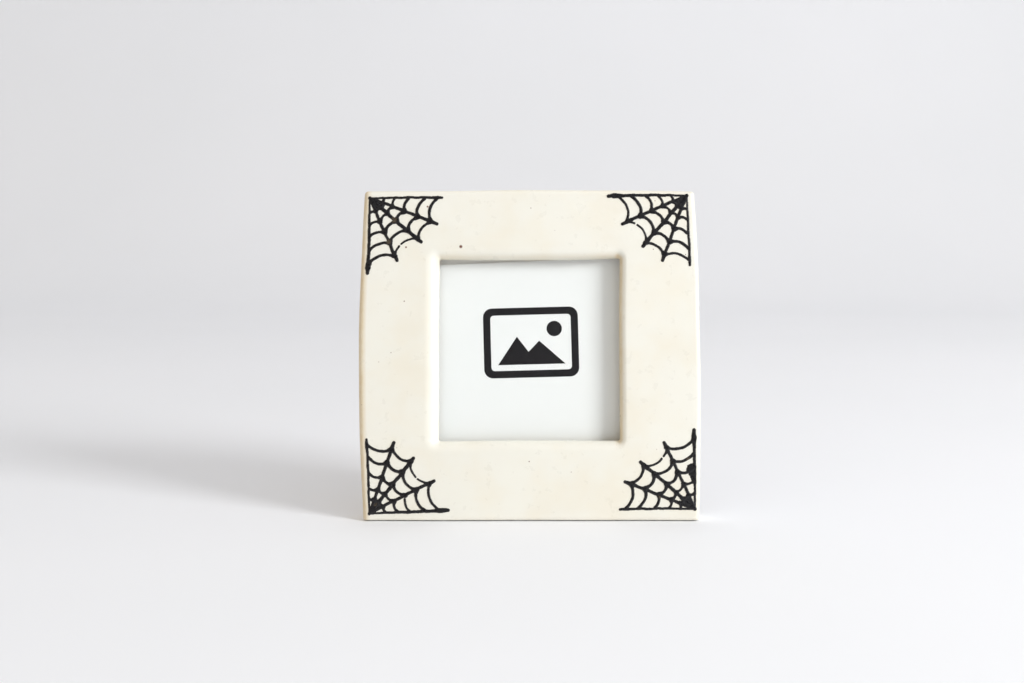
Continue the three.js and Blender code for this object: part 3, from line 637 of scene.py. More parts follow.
def studio_paper(name):
    """Matt white studio paper. The eye sees an even pale floor with the faintest clouding."""
    material, tree = start_material(name)
    place = add_node(tree, "ShaderNodeTexCoord", take="Object")
    clouds = add_node(tree, "ShaderNodeTexNoise", Vector=place, Scale=3.0, Detail=2.0)
    pale, shaded = settings().finish.floor, linear("#eff2f7")
    colour = add_node(tree, "ShaderNodeMix", clouds, pale, shaded, data_type="RGBA")
    shader = add_node(tree, "ShaderNodeBsdfPrincipled", Base_Color=colour, Roughness=0.7, IOR=1.4)
    add_node(tree, "ShaderNodeOutputMaterial", Surface=shader)
    return material


# How a metal's grain is stretched: drawn across the frame, or turned round its fastenings.
ACROSS = (0.06, 1.0, 1.0)
ROUND = (1.0, 0.1, 1.0)
# Each material's name, what makes it, its colour among the settings and the rest that it takes. The
# keys are the material slots, apart from the ink and the floor.
FINISHES = {
    "cream_glaze": ("cream_glazed_stoneware", glazed_stoneware),
    "black_enamel": ("black_trailed_enamel", black_enamel),
    "clear_glass": ("clear_float_glass", float_glass),
    "print_paper": ("white_print_paper", coated_sheet, "paper", "#f1f4f4", 0.5, 0.5),
    "ink": ("black_printing_ink", coated_sheet, "ink", "#1f1c20", 0.42, 0.3, 1.35),
    "white_card": ("white_filler_card", coated_sheet, "card", "#f1f0ec", 0.75, 0.9, 1.5, 0.03),
    "black_board": ("black_flocked_fibreboard", flocked_fibreboard),
    "nickel_steel": ("nickel_plated_steel", worked_metal, "nickel", "#8f897f", 0.16, 0.36, ACROSS),
    "turned_brass": ("turned_brass", worked_metal, "brass", "#a07c3a", 0.22, 0.45, ROUND),
    "floor": ("white_studio_paper", studio_paper),
}


def finish_for(slot):
    """A material by its slot, made the first time that it is asked for."""
    name, make, *values = FINISHES[slot]
    if values:
        values[0] = getattr(settings().finish, values[0])
    return bpy.data.materials.get(name) or make(name, *values)


def rounded_loop(corners, bows, inset, radius, corner_steps=8, side_steps=84):
    """Points (x, z) round a four-sided loop with rounded corners, clockwise from the upper left.

    The sides move in by inset, and the middle of each stands out past its ends by its bow.
    """
    sides = []
    for i, corner in enumerate(corners):
        start = Vector(corner)
        along = (Vector(corners[(i + 1) % 4]) - start).normalized()
        out = Vector((-along.y, along.x))
        sides.append((start - out * inset, along, out))
    fillets = []
    for i, (start, along, out) in enumerate(sides):
        before_start, before_along, before_out = sides[i - 1]
        share = (start - before_start).cross(along) / before_along.cross(along)
        corner = before_start + before_along * share
        turn = before_along.angle(along)
        back = radius * math.tan(turn / 2)
        first = math.atan2(before_out.y, before_out.x)
        fillets.append((corner - before_along * back, corner + along * back, out, first, turn))
    points = []
    for i, (start, end, out, first, turn) in enumerate(fillets):
        centre = end - out * radius
        for k in range(corner_steps):
            angle = first - turn * k / corner_steps
            points.append(centre + Vector((math.cos(angle), math.sin(angle))) * radius)
        target = fillets[(i + 1) % 4][0]
        for k in range(side_steps):
            t = k / side_steps
            points.append(end.lerp(target, t) + out * (bows[i] * 4 * t * (1 - t)))
    return np.array([tuple(point) for point in points])


def swell(x, z):
    """How far the uneven face lies behind a flat one at a place on it, in mm."""
    waviness = mm(settings().ceramic.waviness)
    long_wave = np.sin(x / 17 + 0.4) * np.cos(z / 23 + 1.1)
    cross_wave = 0.6 * np.sin(x / 9.1 - z / 12.7 + 2.0)
    short_wave = 0.25 * np.sin((x + 2 * z) / 5.3)
    return waviness * (long_wave + cross_wave + short_wave) + waviness


def stray(x, z):
    """How far the hand-cut outlines stray sideways and upwards at a place, in mm."""
    waviness = mm(settings().ceramic.waviness)
    sideways = waviness * (1.3 * np.sin(z / 21 + 1.3) + 0.6 * np.sin(z / 8.3 + 0.5))
    upwards = waviness * (1.3 * np.sin(x / 24 + 0.7) + 0.7 * np.sin(x / 9.7 + 2.2))
    return sideways, upwards


def ceramic_rings():
    """The loops that run round the ceramic's section, each with its depth and how handmade it is."""
    ceramic = settings().ceramic
    front, back, corner = mm(ceramic.front_round), mm(ceramic.back_round), mm(ceramic.corner_radius)
    x, z = mm(ceramic.sight_width) / 2, mm(ceramic.sight_height) / 2
    lip = mm(ceramic.pocket_lip)
    rings = []

    def outline(inset):
        return rounded_loop(OUTLINE_CORNERS, OUTLINE_BOWS, inset, max(0.4, corner - inset))

    def sight(outset):
        # Its top slopes, and the soft edge is wider on the left of the opening than on the right.
        corners = [
            (-x - 0.3 * outset, SIGHT_MIDDLE + z - SIGHT_SLOPE / 2),
            (x - 0.4 * outset, SIGHT_MIDDLE + z + SIGHT_SLOPE / 2),
            (x - 0.4 * outset, SIGHT_MIDDLE - z),
            (-x - 0.3 * outset, SIGHT_MIDDLE - z),
        ]
        return rounded_loop(corners, SIGHT_BOWS, -outset, 1 + outset)

    def pocket(outset):
        reach, low, high = x + lip, SIGHT_MIDDLE - (z + lip), SIGHT_MIDDLE + (z + lip)
        corners = [(-reach, high), (reach, high), (reach, low), (-reach, low)]
        return rounded_loop(corners, STRAIGHT, -outset, 1.5 + outset)

    def flat(first, last, depth, count, first_share, last_share):
        for k in range(1, count):
            t = k / count
            rings.append((first * (1 - t) + last * t, depth, first_share * (1 - t) + last_share * t))

    edge = 0.45
    for cosine, sine in quarter(3):
        rings.append((pocket(edge * (1 - cosine)), BACK_FACE - edge * (1 - sine), 0))
    flat(pocket(edge), outline(back), BACK_FACE, 6, 0, 1)
    for cosine, sine in quarter(6):
        rings.append((outline(back * (1 - sine)), BACK_FACE - back * (1 - cosine), 1))
    side = outline(0)
    for k in range(1, 9):
        rings.append((side, BACK_FACE - back - (BACK_FACE - back - front) * k / 9, 1))
    for cosine, sine in quarter(10):
        rings.append((outline(front * (1 - cosine)), front * (1 - sine), 1))
    sight_round, sight_depth = mm(ceramic.sight_round), mm(ceramic.sight_depth)
    flat(outline(front), sight(sight_round), 0, 18, 1, 1)
    for cosine, sine in quarter(14):
        rings.append((sight(sight_round * (1 - sine)), sight_depth * (1 - cosine), 1))
    arris = 0.3
    for k in range(1, 4):
        rings.append((sight(0), sight_depth + (LIP_THICKNESS - arris - sight_depth) * k / 3, 1))
    rings.append((sight(0.1), LIP_THICKNESS - 0.08, 1))
    rings.append((sight(arris), LIP_THICKNESS, 1))
    flat(sight(arris), pocket(0), LIP_THICKNESS, 4, 1, 0)
    for k in range(6):
        rings.append((pocket(0), LIP_THICKNESS + (BACK_FACE - edge - LIP_THICKNESS) * k / 6, 0))
    return rings


def button_places():
    """The name of each turn button, its side as -1 or 1 and its height."""
    sides = ((-1, "left"), (1, "right"))
    return [(f"{level}_{name}", x, z) for x, name in sides for level, z in SCREW_HEIGHTS.items()]


def insert_holes():
    """The four blind holes for the screw inserts, each with a small countersink, as one mesh."""
    work = bmesh.new()
    rim = 3.3
    profile = [(0, -HOLE_DEPTH), (HOLE_RADIUS, -HOLE_DEPTH), (HOLE_RADIUS, -0.35)]
    profile += [(rim, 0.05), (rim, 1.0), (0, 1.0)]
    sides = 48
    for name, side, level in button_places():
        rows = []
        for radius, height in profile:
            row = []
            for k in range(sides if radius else 1):
                angle = 2 * math.pi * k / sides
                x, z = side * SCREW_X + radius * math.cos(angle), level + radius * math.sin(angle)
                row.append(work.verts.new((x, BACK_FACE + height, z)))
            rows.append(row)
        for low, high in zip(rows, rows[1:]):
            for k in range(sides):
                corners = [low[k % len(low)], low[(k + 1) % len(low)]]
                corners += [high[(k + 1) % len(high)], high[k % len(high)]]
                work.faces.new(list(dict.fromkeys(corners)))
    bmesh.ops.recalc_face_normals(work, faces=work.faces)
    return to_mesh(work, "insert_holes")


def ceramic_mesh():
    """The glazed body: a soft slab with the opening, the pocket behind it and the insert holes."""
    rings = ceramic_rings()
    count = len(rings[0][0])
    rows = []
    for loop, depth, handmade in rings:
        x, z = loop[:, 0], loop[:, 1]
        sideways, upwards = stray(x, z)
        nearness = 1 - min(1, max(0, depth - 1) / 4)
        y = depth + handmade * nearness * swell(x, z)
        rows.append(np.column_stack((x + handmade * sideways, y, z + handmade * upwards)))
    faces = []
    for i in range(len(rings)):
        here, there = i * count, ((i + 1) % len(rings)) * count
        for k in range(count):
            after = (k + 1) % count
            faces.append((here + k, here + after, there + after, there + k))
    mesh = bpy.data.meshes.new("ceramic_body")
    mesh.from_pydata(np.concatenate(rows).tolist(), [], faces)
    settle(face_outwards(mesh))
    # The foot is wiped flat on the floor, and lifts off it a little along the front, in metres.
    lift, reach = 0.0006, 0.0045
    places = read_places(mesh)
    front = places[places[:, 2] < 0.001, 1].min()
    lifted = lift * np.clip(1 - (places[:, 1] - front) / reach, 0, 1)
    places[:, 2] = np.maximum(places[:, 2], lifted)
    mesh.vertices.foreach_set("co", places.ravel())
    cutter = carry("insert_holes", settle(insert_holes()))
    carrier = carry("ceramic_body", mesh)
    bore = carrier.modifiers.new("Insert Holes", "BOOLEAN")
    bore.operation = "DIFFERENCE"
    bore.solver = "MANIFOLD"
    bore.object = cutter
    made = bake(carrier)
    bpy.data.objects.remove(cutter)
    if len(made.vertices) <= len(places):
        raise RuntimeError("the insert holes weren't cut into the ceramic")
    mark_glaze(made)
    return smooth(made, 38)


def outline_insets(x, z):
    """How far places lie inside each side of the outline, from the top clockwise, in mm."""
    insets = []
    for i, corner in enumerate(OUTLINE_CORNERS):
        start = Vector(corner)
        side = Vector(OUTLINE_CORNERS[(i + 1) % 4]) - start
        along = side.normalized()
        t = np.clip(((x - start.x) * along.x + (z - start.y) * along.y) / side.length, 0, 1)
        beyond = -(x - start.x) * along.y + (z - start.y) * along.x
        insets.append(OUTLINE_BOWS[i] * 4 * t * (1 - t) - beyond)
    return np.array(insets)


def mark_glaze(mesh):
    """Stores where the ceramic is glazed, and where its edges are tan: thin glaze, and painted shade where
    they face away from the key light.
    """
    back = (Matrix.Scale(0.001, 4) @ UPRIGHT).inverted()
    places = read_places(mesh)
    x, y, z = (places @ np.array(back.to_3x3()).T + np.array(back.translation)).T
    reach = mm(settings().ceramic.sight_width) / 2 + mm(settings().ceramic.pocket_lip)
    inside = (np.abs(x) < reach + 2) & (np.abs(z - SIGHT_MIDDLE) < reach + 2)
    # The glaze ends before the back face, inside the opening before the glass, and at the foot.
    line = np.where(inside, 6.1, 12.6)
    glazed = np.clip((line - y) / 1.2 + 0.5, 0, 1)
    glazed[places[:, 2] < 0.00002] = 0
    # Tan where the face turns over its outer edge and into the opening. It is partly thin glaze and partly
    # painted shade: heaviest on the left outer edge and on the right and top of the opening, which face
    # away from the key light on the upper right.
    side_tan_and_shade_weights = np.array([[0.05], [0.15], [0.1], [0.72]])
    side_reaches = np.array([[2.1], [2.1], [2.1], [3.1]])
    near = np.clip((side_reaches - outline_insets(x, z)) / 1.6, 0, 1) * side_tan_and_shade_weights
    outer = near.max(axis=0) * np.exp(-((np.maximum(y - 2, 0) / 1.4) ** 2)) * ~inside
    rear = np.exp(-(((y - 11.6) / 1.3) ** 2)) * ~inside * 0.6
    depth_share = np.clip((y - 0.7) / 1.3, 0, 1)
    # Painted shade on the right and top of the opening, in the thin glaze's tan.
    drained_and_shaded = 0.8 * np.clip((x - 37) / 2.5, 0, 1)
    drained_and_shaded += 0.15 * np.clip((z - SIGHT_MIDDLE) / 38 - 0.9, 0, 1) * 10
    opening = depth_share * inside * np.clip(drained_and_shaded, 0, 0.8)
    mark(mesh, "glazed", "POINT", glazed.astype(np.float32))
    mark(mesh, "thin_glaze", "POINT", np.clip(outer + rear + opening, 0, 1).astype(np.float32))


class PHOTOFRAME_OT_ceramic_body(bpy.types.Operator):
    """Build the glazed ceramic body with its soft edges and its wiped foot"""

    bl_idname = "photo_frame.ceramic_body"
    bl_label = "Ceramic Body"
    bl_options = {"REGISTER", "UNDO"}

    def execute(self, context):
        place_piece("ceramic_body", ceramic_mesh(), "frame", "cream_glaze", ["ceramic_frame"])
        return {"FINISHED"}


# The cobweb's threads: their turns in degrees, and their lengths and widths as shares.
THREAD_TURNS = [-0.9, 20.8, 40.5, 65.8, 90.4]
THREAD_SHARES = [1.0, 1.0, 0.945, 0.967, 1.06]
THREAD_WIDTHS = [0.8, 1.0, 1.12, 1.0, 0.95]
# Each ring's five bows, from the corner out, between one thread and the next: how far out along
# the two threads each bow starts and ends, as shares of the web's size.
RING_BOWS = [
    [(0.204, 0.204), (0.352, 0.345), (0.556, 0.52), (0.775, 0.712), (0.94, 0.91)],
    [(0.204, 0.204), (0.345, 0.331), (0.518, 0.492), (0.72, 0.707), (0.92, 0.89)],
    [(0.218, 0.208), (0.339, 0.366), (0.498, 0.537), (0.698, 0.692), (0.864, 0.872)],
    [(0.212, 0.218), (0.371, 0.392), (0.538, 0.561), (0.703, 0.756), (0.898, 0.936)],
]
RING_WIDTHS = [0.82, 0.9, 1.04, 1.06, 1.0]
RING_SAG = 0.17
# How each web was laid on: a seed, how far its first and last threads are turned, in degrees, and
# stretched, the shift of its corner along them, in mm, and its flaws. A flaw is a break in a bow,
# given by the ring, the thread before it and how far along it lies.
WEB_HANDS = {
    "upper_left": (3, (0.2, 1.2), (1.0, 0.985), (-0.3, 0.5), {(4, 2): 0.62}),
    "upper_right": (8, (-1.1, -0.9), (0.966, 1.02), (-0.65, 0.62), {(4, 2): 0.75}),
    "lower_right": (14, (0.4, -0.1), (1.02, 1.02), (-0.75, 2.7), {(4, 2): 0.69}),
    "lower_left": (21, (-1.1, -3.2), (1.01, 1.02), (0.75, 0.0), {(4, 2): 0.58, (2, 3): 0.1}),
}
# Enamel that was wiped inwards from a web's last thread: how far, in mm, at distances along it.
WEB_SMEARS = {
    "upper_left": [(27.5, 0.4), (28.1, 1.5), (29.0, 1.2), (30.4, 0.7), (31.2, 0.3)],
    "lower_right": [
        (11, 0.5), (12, 1.0), (14, 1.5), (15.6, 2.5), (16.9, 3.3), (18.3, 2.6), (19.3, 0.6),
        (19.4, -0.5), (27.5, -0.5), (27.9, 0.5), (28.7, 1.3), (29.7, 0.8), (31, 0.3),
    ],
}
# The radius of the drops in a blot or a smear, in mm.
DROP_RADIUS = 0.42


def bump(distance, reach):
    """A share that is 1 at a place and fades over a distance from it."""
    return math.exp(-((distance / reach) ** 2))


def web_point(turn, share):
    """A point of the flat stencil, at a turn in degrees and a share of the web's size."""
    angle = math.radians(turn)
    return np.array((math.cos(angle), math.sin(angle))) * mm(settings().cobweb.size) * share


def web_threads(laid, luck):
    """A web's five threads, each from its far end to the corner, as paths on the face."""
    size = mm(settings().cobweb.size)
    paths = []
    for thread, share in enumerate(THREAD_SHARES):
        length = share * size
        half = mm(settings().cobweb.thread_width) / 2 * THREAD_WIDTHS[thread]
        across = web_point(THREAD_TURNS[thread], 1) / size
        across = np.array((-across[1], across[0])) * luck.uniform(-0.25, 0.25)
        path = []
        count = int(length / 0.4)
        for k in range(count + 1):
            t = k / count
            left = (1 - t) * length
            point = laid(web_point(THREAD_TURNS[thread], t * share) + across * math.sin(math.pi * t))
            width = half * (1 + 0.3 * bump(left - 2.6, 1.6))
            if thread == 4:
                # The last thread thickens on its way, to a long heavy drop.
                width *= 0.85 + 0.25 * t + 0.3 * bump(left - 3.6, 2.2)
            if thread in (0, 4):
                # The outer threads start thin at the corner.
                width *= 0.74 + 0.26 * min(1, t * length / 12)
            path.append((*point, width))
        paths.append(path)
    return paths


def web_bow(laid, luck, ring, thread, flaw):
    """One bow of a ring, from a thread to the next, as a path on the face, or two where it breaks."""
    start, end = (web_point(THREAD_TURNS[thread + i], RING_BOWS[thread][ring][i]) for i in (0, 1))
    middle = (start + end) / 2
    span = np.linalg.norm(end - start)
    pull = middle * (1 - 2 * RING_SAG * span / np.linalg.norm(middle))
    half = mm(settings().cobweb.ring_width) / 2 * RING_WIDTHS[ring] * luck.uniform(0.92, 1.08)
    paths = [[]]
    count = max(6, int(span / (0.1 if flaw else 0.3)))
    for k in range(count + 1):
        t = k / count
        point = laid(start * (1 - t) ** 2 + pull * 2 * t * (1 - t) + end * t**2)
        # The enamel draws together where a bow meets a thread, more so between two bows.
        first, last = t * span, (1 - t) * span
        width = 1 + (0.8 if thread > 0 else 0.2) * bump(first, 1.1)
        width += (0.8 if thread < 3 else 0.3) * bump(last, 1.1)
        width *= half
        if (thread == 0 and first < 0.35) or (thread == 3 and last < 0.25):
            continue
        if flaw:
            width *= 0.82
        if flaw and abs(t - flaw) * span < 0.14 + width:
            paths.append([])
        else:
            paths[-1].append((*point, width))
    return [path for path in paths if len(path) > 1]


def web_blots(name, luck):
    """The stencil's points for the drops of a web's blots and smears."""
    # Enamel that ran together between the threads near the corner, with a ragged far side.
    points = []
    for turn in np.arange(THREAD_TURNS[1], THREAD_TURNS[3] - 4, 3.0):
        far = 0.215 + 0.028 * luck.uniform(-1, 1) - 0.045 * (turn > 44)
        points += [web_point(turn, share) for share in np.arange(0.05, far, 0.011)]
    if name in WEB_SMEARS:
        marks, reaches = zip(*WEB_SMEARS[name])
        for along in np.arange(marks[0], marks[-1], 0.33):
            reach = np.interp(along, marks, reaches) + luck.uniform(-0.15, 0.15)
            points += [(inward, along) for inward in np.arange(0.0, reach, 0.33)]
    return points


def web_lines(name):
    """One cobweb's lines as paths of (x, z, half width) in mm, and the loose drops of its blots.

    Its corner is near the origin, its first thread lies along +x and its last along -z.
    """
    seed, turns, stretches, shift, flaws = WEB_HANDS[name]
    luck = np.random.default_rng(seed)
    first_turn, last_turn = (math.radians(turn) for turn in turns)
    first_edge = np.array((math.cos(first_turn), -math.sin(first_turn))) * stretches[0]
    last_edge = np.array((-math.sin(last_turn), -math.cos(last_turn))) * stretches[1]

    def laid(point):
        """A point of the flat stencil, as (along the first thread, along the last), on the face."""
        return (point[0] + shift[0]) * first_edge + (point[1] + shift[1]) * last_edge

    paths = web_threads(laid, luck)
    for ring in range(len(RING_WIDTHS)):
        for thread in range(4):
            paths += web_bow(laid, luck, ring, thread, flaws.get((ring, thread)))
    return paths, [(*laid(point), DROP_RADIUS) for point in web_blots(name, luck)]


def start_tree(name, inputs, result):
    """A node tree with inputs, given as (name, kind, default), and one output of geometry."""
    tree = bpy.data.node_groups.new(name, "GeometryNodeTree")
    for label, kind, value in inputs:
        socket = tree.interface.new_socket(name=label, in_out="INPUT", socket_type=f"NodeSocket{kind}")
        if value is not None:
            socket.default_value = value
    tree.interface.new_socket(name=result, in_out="OUTPUT", socket_type="NodeSocketGeometry")
    return tree, add_node(tree, "NodeGroupInput").node.outputs


def finish_tree(tree, geometry, material):
    """Ends a node tree with real geometry of one material."""
    real = add_node(tree, "GeometryNodeRealizeInstances", geometry)
    dressed = add_node(tree, "GeometryNodeSetMaterial", Geometry=real, Material=material)
    add_node(tree, "NodeGroupOutput", dressed)
    return tree


def run_tree(tree, mesh, values):
    """Runs a node tree on a mesh, with its named inputs, and gives the result as a plain mesh."""
    carrier = carry(tree.name, mesh)
    modifier = carrier.modifiers.new(tree.name, "NODES")
    modifier.node_group = tree
    for item in tree.interface.items_tree:
        if item.in_out == "INPUT" and item.name in values:
            modifier[item.identifier] = values[item.name]
    made = bake(carrier)
    if not made.polygons:
        raise RuntimeError(f"{tree.name} made no faces")
    return made


def enamel_tree():
    """The node tree that lays drops of enamel along lines and melts them into one."""
    inputs = [("Lines", "Geometry", None), ("Step", "Float", 0.22), ("Grain", "Float", 0.17)]
    inputs += [("Wander", "Float", 0.22), ("Unevenness", "Float", 0.3), ("Seed", "Float", None)]
    tree, given = start_tree("Trailed Enamel", inputs + [("Enamel", "Material", None)], "Web")
    half = add_node(tree, "GeometryNodeInputNamedAttribute", "half_width", data_type="FLOAT")
    # Points without an edge are the blots' drops.
    neighbours = add_node(tree, "GeometryNodeInputMeshVertexNeighbors")
    alone = add_node(tree, "FunctionNodeCompare", neighbours, 0, data_type="INT", operation="EQUAL")
    blot = add_node(tree, "GeometryNodeMeshToPoints", Mesh=given["Lines"], Selection=alone)
    lines = add_node(tree, "GeometryNodeMeshToCurve", given["Lines"])
    even = add_node(tree, "GeometryNodeResampleCurve", Curve=lines, Length=given["Step"], mode="LENGTH")
    along = add_node(tree, "GeometryNodeCurveToPoints", even, mode="EVALUATED")
    drops = add_node(tree, "GeometryNodeJoinGeometry", [along, blot])
    place = add_node(tree, "GeometryNodeInputPosition")
    # The lines stray sideways, and the drops along them are squeezed out unevenly.
    drift = add_node(
        tree, "ShaderNodeTexNoise", Vector=place, W=given["Seed"], Scale=0.22, Detail=2.0,
        noise_dimensions="4D", take="Color"
    )
    drift = add_node(tree, "ShaderNodeVectorMath", drift, (0.5, 0.5, 0.5), operation="SUBTRACT")
    drift = add_node(tree, "ShaderNodeVectorMath", drift, (4.0, 0.0, 4.0), operation="MULTIPLY")
    drift = add_node(tree, "ShaderNodeVectorMath", drift, given["Wander"], operation="SCALE")
    moved = add_node(tree, "GeometryNodeSetPosition", Geometry=drops, Offset=drift)
    pressure = add_node(
        tree, "ShaderNodeTexNoise", Vector=place, W=given["Seed"], Scale=0.75, Detail=3.0,
        noise_dimensions="4D"
    )
    pressure = add_node(tree, "ShaderNodeMath", pressure, 0.5, operation="SUBTRACT")
    pressure = add_node(tree, "ShaderNodeMath", pressure, given["Unevenness"], operation="MULTIPLY")
    pressure = add_node(tree, "ShaderNodeMath", pressure, 2.0, 1.0, operation="MULTIPLY_ADD")
    radius = add_node(tree, "ShaderNodeMath", half, pressure, operation="MULTIPLY")
    melt = add_node(
        tree, "GeometryNodePointsToVolume", Points=moved, Voxel_Size=given["Grain"], Radius=radius,
        resolution_mode="VOXEL_SIZE"
    )
    skin = add_node(tree, "GeometryNodeVolumeToMesh", Volume=melt, Threshold=0.08)
    return finish_tree(tree, skin, given["Enamel"])


def line_mesh(name, paths, drops):
    """Paths as chains of edges and drops as loose points, each with its half width."""
    points = []
    edges = []
    for path in paths:
        edges += [(len(points) + k, len(points) + k + 1) for k in range(len(path) - 1)]
        points += path
    points += drops
    mesh = bpy.data.meshes.new(name)
    mesh.from_pydata([(x, 0, z) for x, z, width in points], edges, [])
    mark(mesh, "half_width", "POINT", [width for x, z, width in points])
    return mesh


class PHOTOFRAME_OT_cobwebs(bpy.types.Operator):
    """Trail the four black enamel cobwebs over the corners of the face"""

    bl_idname = "photo_frame.cobwebs"
    bl_label = "Cobwebs"
    bl_options = {"REGISTER", "UNDO"}

    def execute(self, context):
        cobweb = settings().cobweb
        relief = mm(cobweb.relief)
        values = {"Grain": mm(cobweb.grain), "Wander": mm(cobweb.wander)}
        values["Enamel"] = finish_for("black_enamel")
        tree = enamel_tree()
        inset = mm(settings().ceramic.front_round) + 0.8
        inward = [(1, -1), (-1, -1), (-1, 1), (1, 1)]
        for i, name in enumerate(WEB_HANDS):
            values["Seed"] = float(WEB_HANDS[name][0])
            mesh = run_tree(tree, line_mesh(f"{name}_lines", *web_lines(name)), values)
            corner = (Vector(OUTLINE_CORNERS[i]) + Vector(inward[i]) * inset).to_3d().xzy
            mesh.transform(Matrix.Translation(corner) @ Matrix.Rotation(i * math.pi / 2, 4, "Y"))
            x, y, z = read_places(mesh).T
            # The drops are pressed to a low dome, whose underside lies just in the glaze.
            raised = relief * np.tanh(np.maximum(-y, 0) * 1.15 / relief / 1.7)
            sideways, upwards = stray(x, z)
            depth = swell(x, z) + np.where(y > 0, 0.05, -raised)
            places = np.column_stack((x + sideways, depth, z + upwards))
            mesh.vertices.foreach_set("co", places.ravel())
            smooth(settle(face_outwards(mesh)), 60)
            place_piece(f"cobweb_{name}", mesh, "frame", "black_enamel", [f"web_{name}"])
        return {"FINISHED"}


class PHOTOFRAME_OT_glass_pane(bpy.types.Operator):
    """Give the glass pane its clear finish"""

    bl_idname = "photo_frame.glass_pane"
    bl_label = "Glass Pane"
    bl_options = {"REGISTER", "UNDO"}

    def execute(self, context):
        dress_node("glass_pane", "clear_glass")
        return {"FINISHED"}


# The print lies a little low and turned, and its top edge was cut lower at the left end.
PRINT_SIZE = (82.5, 83.2)
PRINT_SKEW = 1.15
PRINT_TURN = Matrix.Rotation(math.radians(-1.5), 4, "Y")
PRINT_PLACE = Matrix.Translation((0.2, PRINT_FRONT, SIGHT_MIDDLE - 1.7)) @ PRINT_TURN
# The sign is printed on the sheet's front, a little above its middle.
SIGN_SHIFT = Matrix.Translation((0.69, -0.02, 4.96))


def print_mesh():
    """The print: a thin sheet that is flat in its middle and lifts a little at its edges."""
    steps = 48
    half_x, half_z = PRINT_SIZE[0] / 2, PRINT_SIZE[1] / 2
    work = bmesh.new()

    def grid_point(i, k, depth):
        x = half_x * (2 * i / steps - 1)
        z = half_z * (2 * k / steps - 1)
        edge = min(1, max(0, (max(abs(x), abs(z)) - 27) / 12))
        wave = 0.07 * edge * edge * (math.sin(x / 9 + 1) + math.cos(z / 7.5))
        z -= PRINT_SKEW * (0.5 - x / half_x / 2) * max(0, z / half_z)
        return work.verts.new((x, depth + wave, z))

    whole = range(steps + 1)
    front, back = (
        [[grid_point(i, k, depth) for k in whole] for i in whole] for depth in (0.0, PRINT_THICKNESS)
    )
    for i in range(steps):
        for k in range(steps):
            work.faces.new((front[i][k], front[i + 1][k], front[i + 1][k + 1], front[i][k + 1]))
            work.faces.new((back[i][k], back[i][k + 1], back[i + 1][k + 1], back[i + 1][k]))
    border = [(k, 0) for k in range(steps)] + [(steps, k) for k in range(steps)]
    border += [(steps - k, steps) for k in range(steps)] + [(0, steps - k) for k in range(steps)]
    for (a, b), (c, d) in zip(border, border[1:] + border[:1]):
        work.faces.new((front[c][d], front[a][b], back[a][b], back[c][d]))
    return face_outwards(to_mesh(work, "print_sheet"))


def rounded_box_outline(width, height, radius, steps=8):
    """Points round a box with rounded corners, centred on the origin."""
    points = []
    for turn, (x, z) in enumerate(((1, 1), (-1, 1), (-1, -1), (1, -1))):
        for k in range(steps + 1):
            angle = math.pi / 2 * (turn + k / steps)
            across = x * (width / 2 - radius) + radius * math.cos(angle)
            points.append((across, z * (height / 2 - radius) + radius * math.sin(angle)))
    return points


def picture_mesh():
    """A plain picture sign, in ink: a border, a sun and two peaks."""
    sheet = settings().print_sheet
    width, height, line = mm(sheet.width), mm(sheet.height), mm(sheet.line)
    inner_x, inner_z = width / 2 - line, height / 2 - line
    ground = -inner_z + 2.6
    peaks = [
        (-inner_x + 3.0, ground),
        (-inner_x + 11.6, ground + 12.4),
        (-inner_x + 16.6, ground + 5.6),
        (-inner_x + 21.4, ground + 10.4),
        (inner_x - 2.8, ground),
    ]
    sun = []
    radius, sun_x, sun_z = mm(sheet.sun_radius), inner_x - 7.4, inner_z - 6.4
    for k in range(40):
        angle = 2 * math.pi * k / 40
        sun.append((sun_x + radius * math.cos(angle), sun_z + radius * math.sin(angle)))
    border = rounded_box_outline(width, height, 4.0)
    window = rounded_box_outline(width - 2 * line, height - 2 * line, 1.6)
    curve = bpy.data.curves.new("picture_sign", "CURVE")
    curve.dimensions = "2D"
    curve.fill_mode = "BOTH"
    curve.extrude = 0.012
    for outline in (border, window, peaks, sun):
        spline = curve.splines.new("POLY")
        spline.points.add(len(outline) - 1)
        for point, (x, z) in zip(spline.points, outline):
            point.co = (x, z, 0, 1)
        spline.use_cyclic_u = True
    mesh = bake(carry("picture_sign", curve))
    mesh.transform(Matrix.Rotation(math.pi / 2, 4, "X"))
    work = bmesh.new()
    work.from_mesh(mesh)
    bmesh.ops.remove_doubles(work, verts=work.verts, dist=0.001)
    bmesh.ops.recalc_face_normals(work, faces=work.faces)
    return to_mesh(work, mesh)


class PHOTOFRAME_OT_print_sheet(bpy.types.Operator):
    """Slip in the white print with its plain picture sign"""

    bl_idname = "photo_frame.print_sheet"
    bl_label = "Print"
    bl_options = {"REGISTER", "UNDO"}

    def execute(self, context):
        sheet = smooth(settle(print_mesh(), UPRIGHT @ PRINT_PLACE), 40)
        place_piece("print_sheet", sheet, "frame", "print_paper", ["print_insert"])
        sign = settle(picture_mesh(), UPRIGHT @ PRINT_PLACE @ SIGN_SHIFT)
        place_piece("picture_sign", sign, "frame", "black_enamel", [], "ink")
        return {"FINISHED"}


class PHOTOFRAME_OT_filler_card(bpy.types.Operator):
    """Give the filler card behind the print its finish"""

    bl_idname = "photo_frame.filler_card"
    bl_label = "Filler Card"
    bl_options = {"REGISTER", "UNDO"}

    def execute(self, context):
        dress_node("filler_card", "white_card")
        return {"FINISHED"}


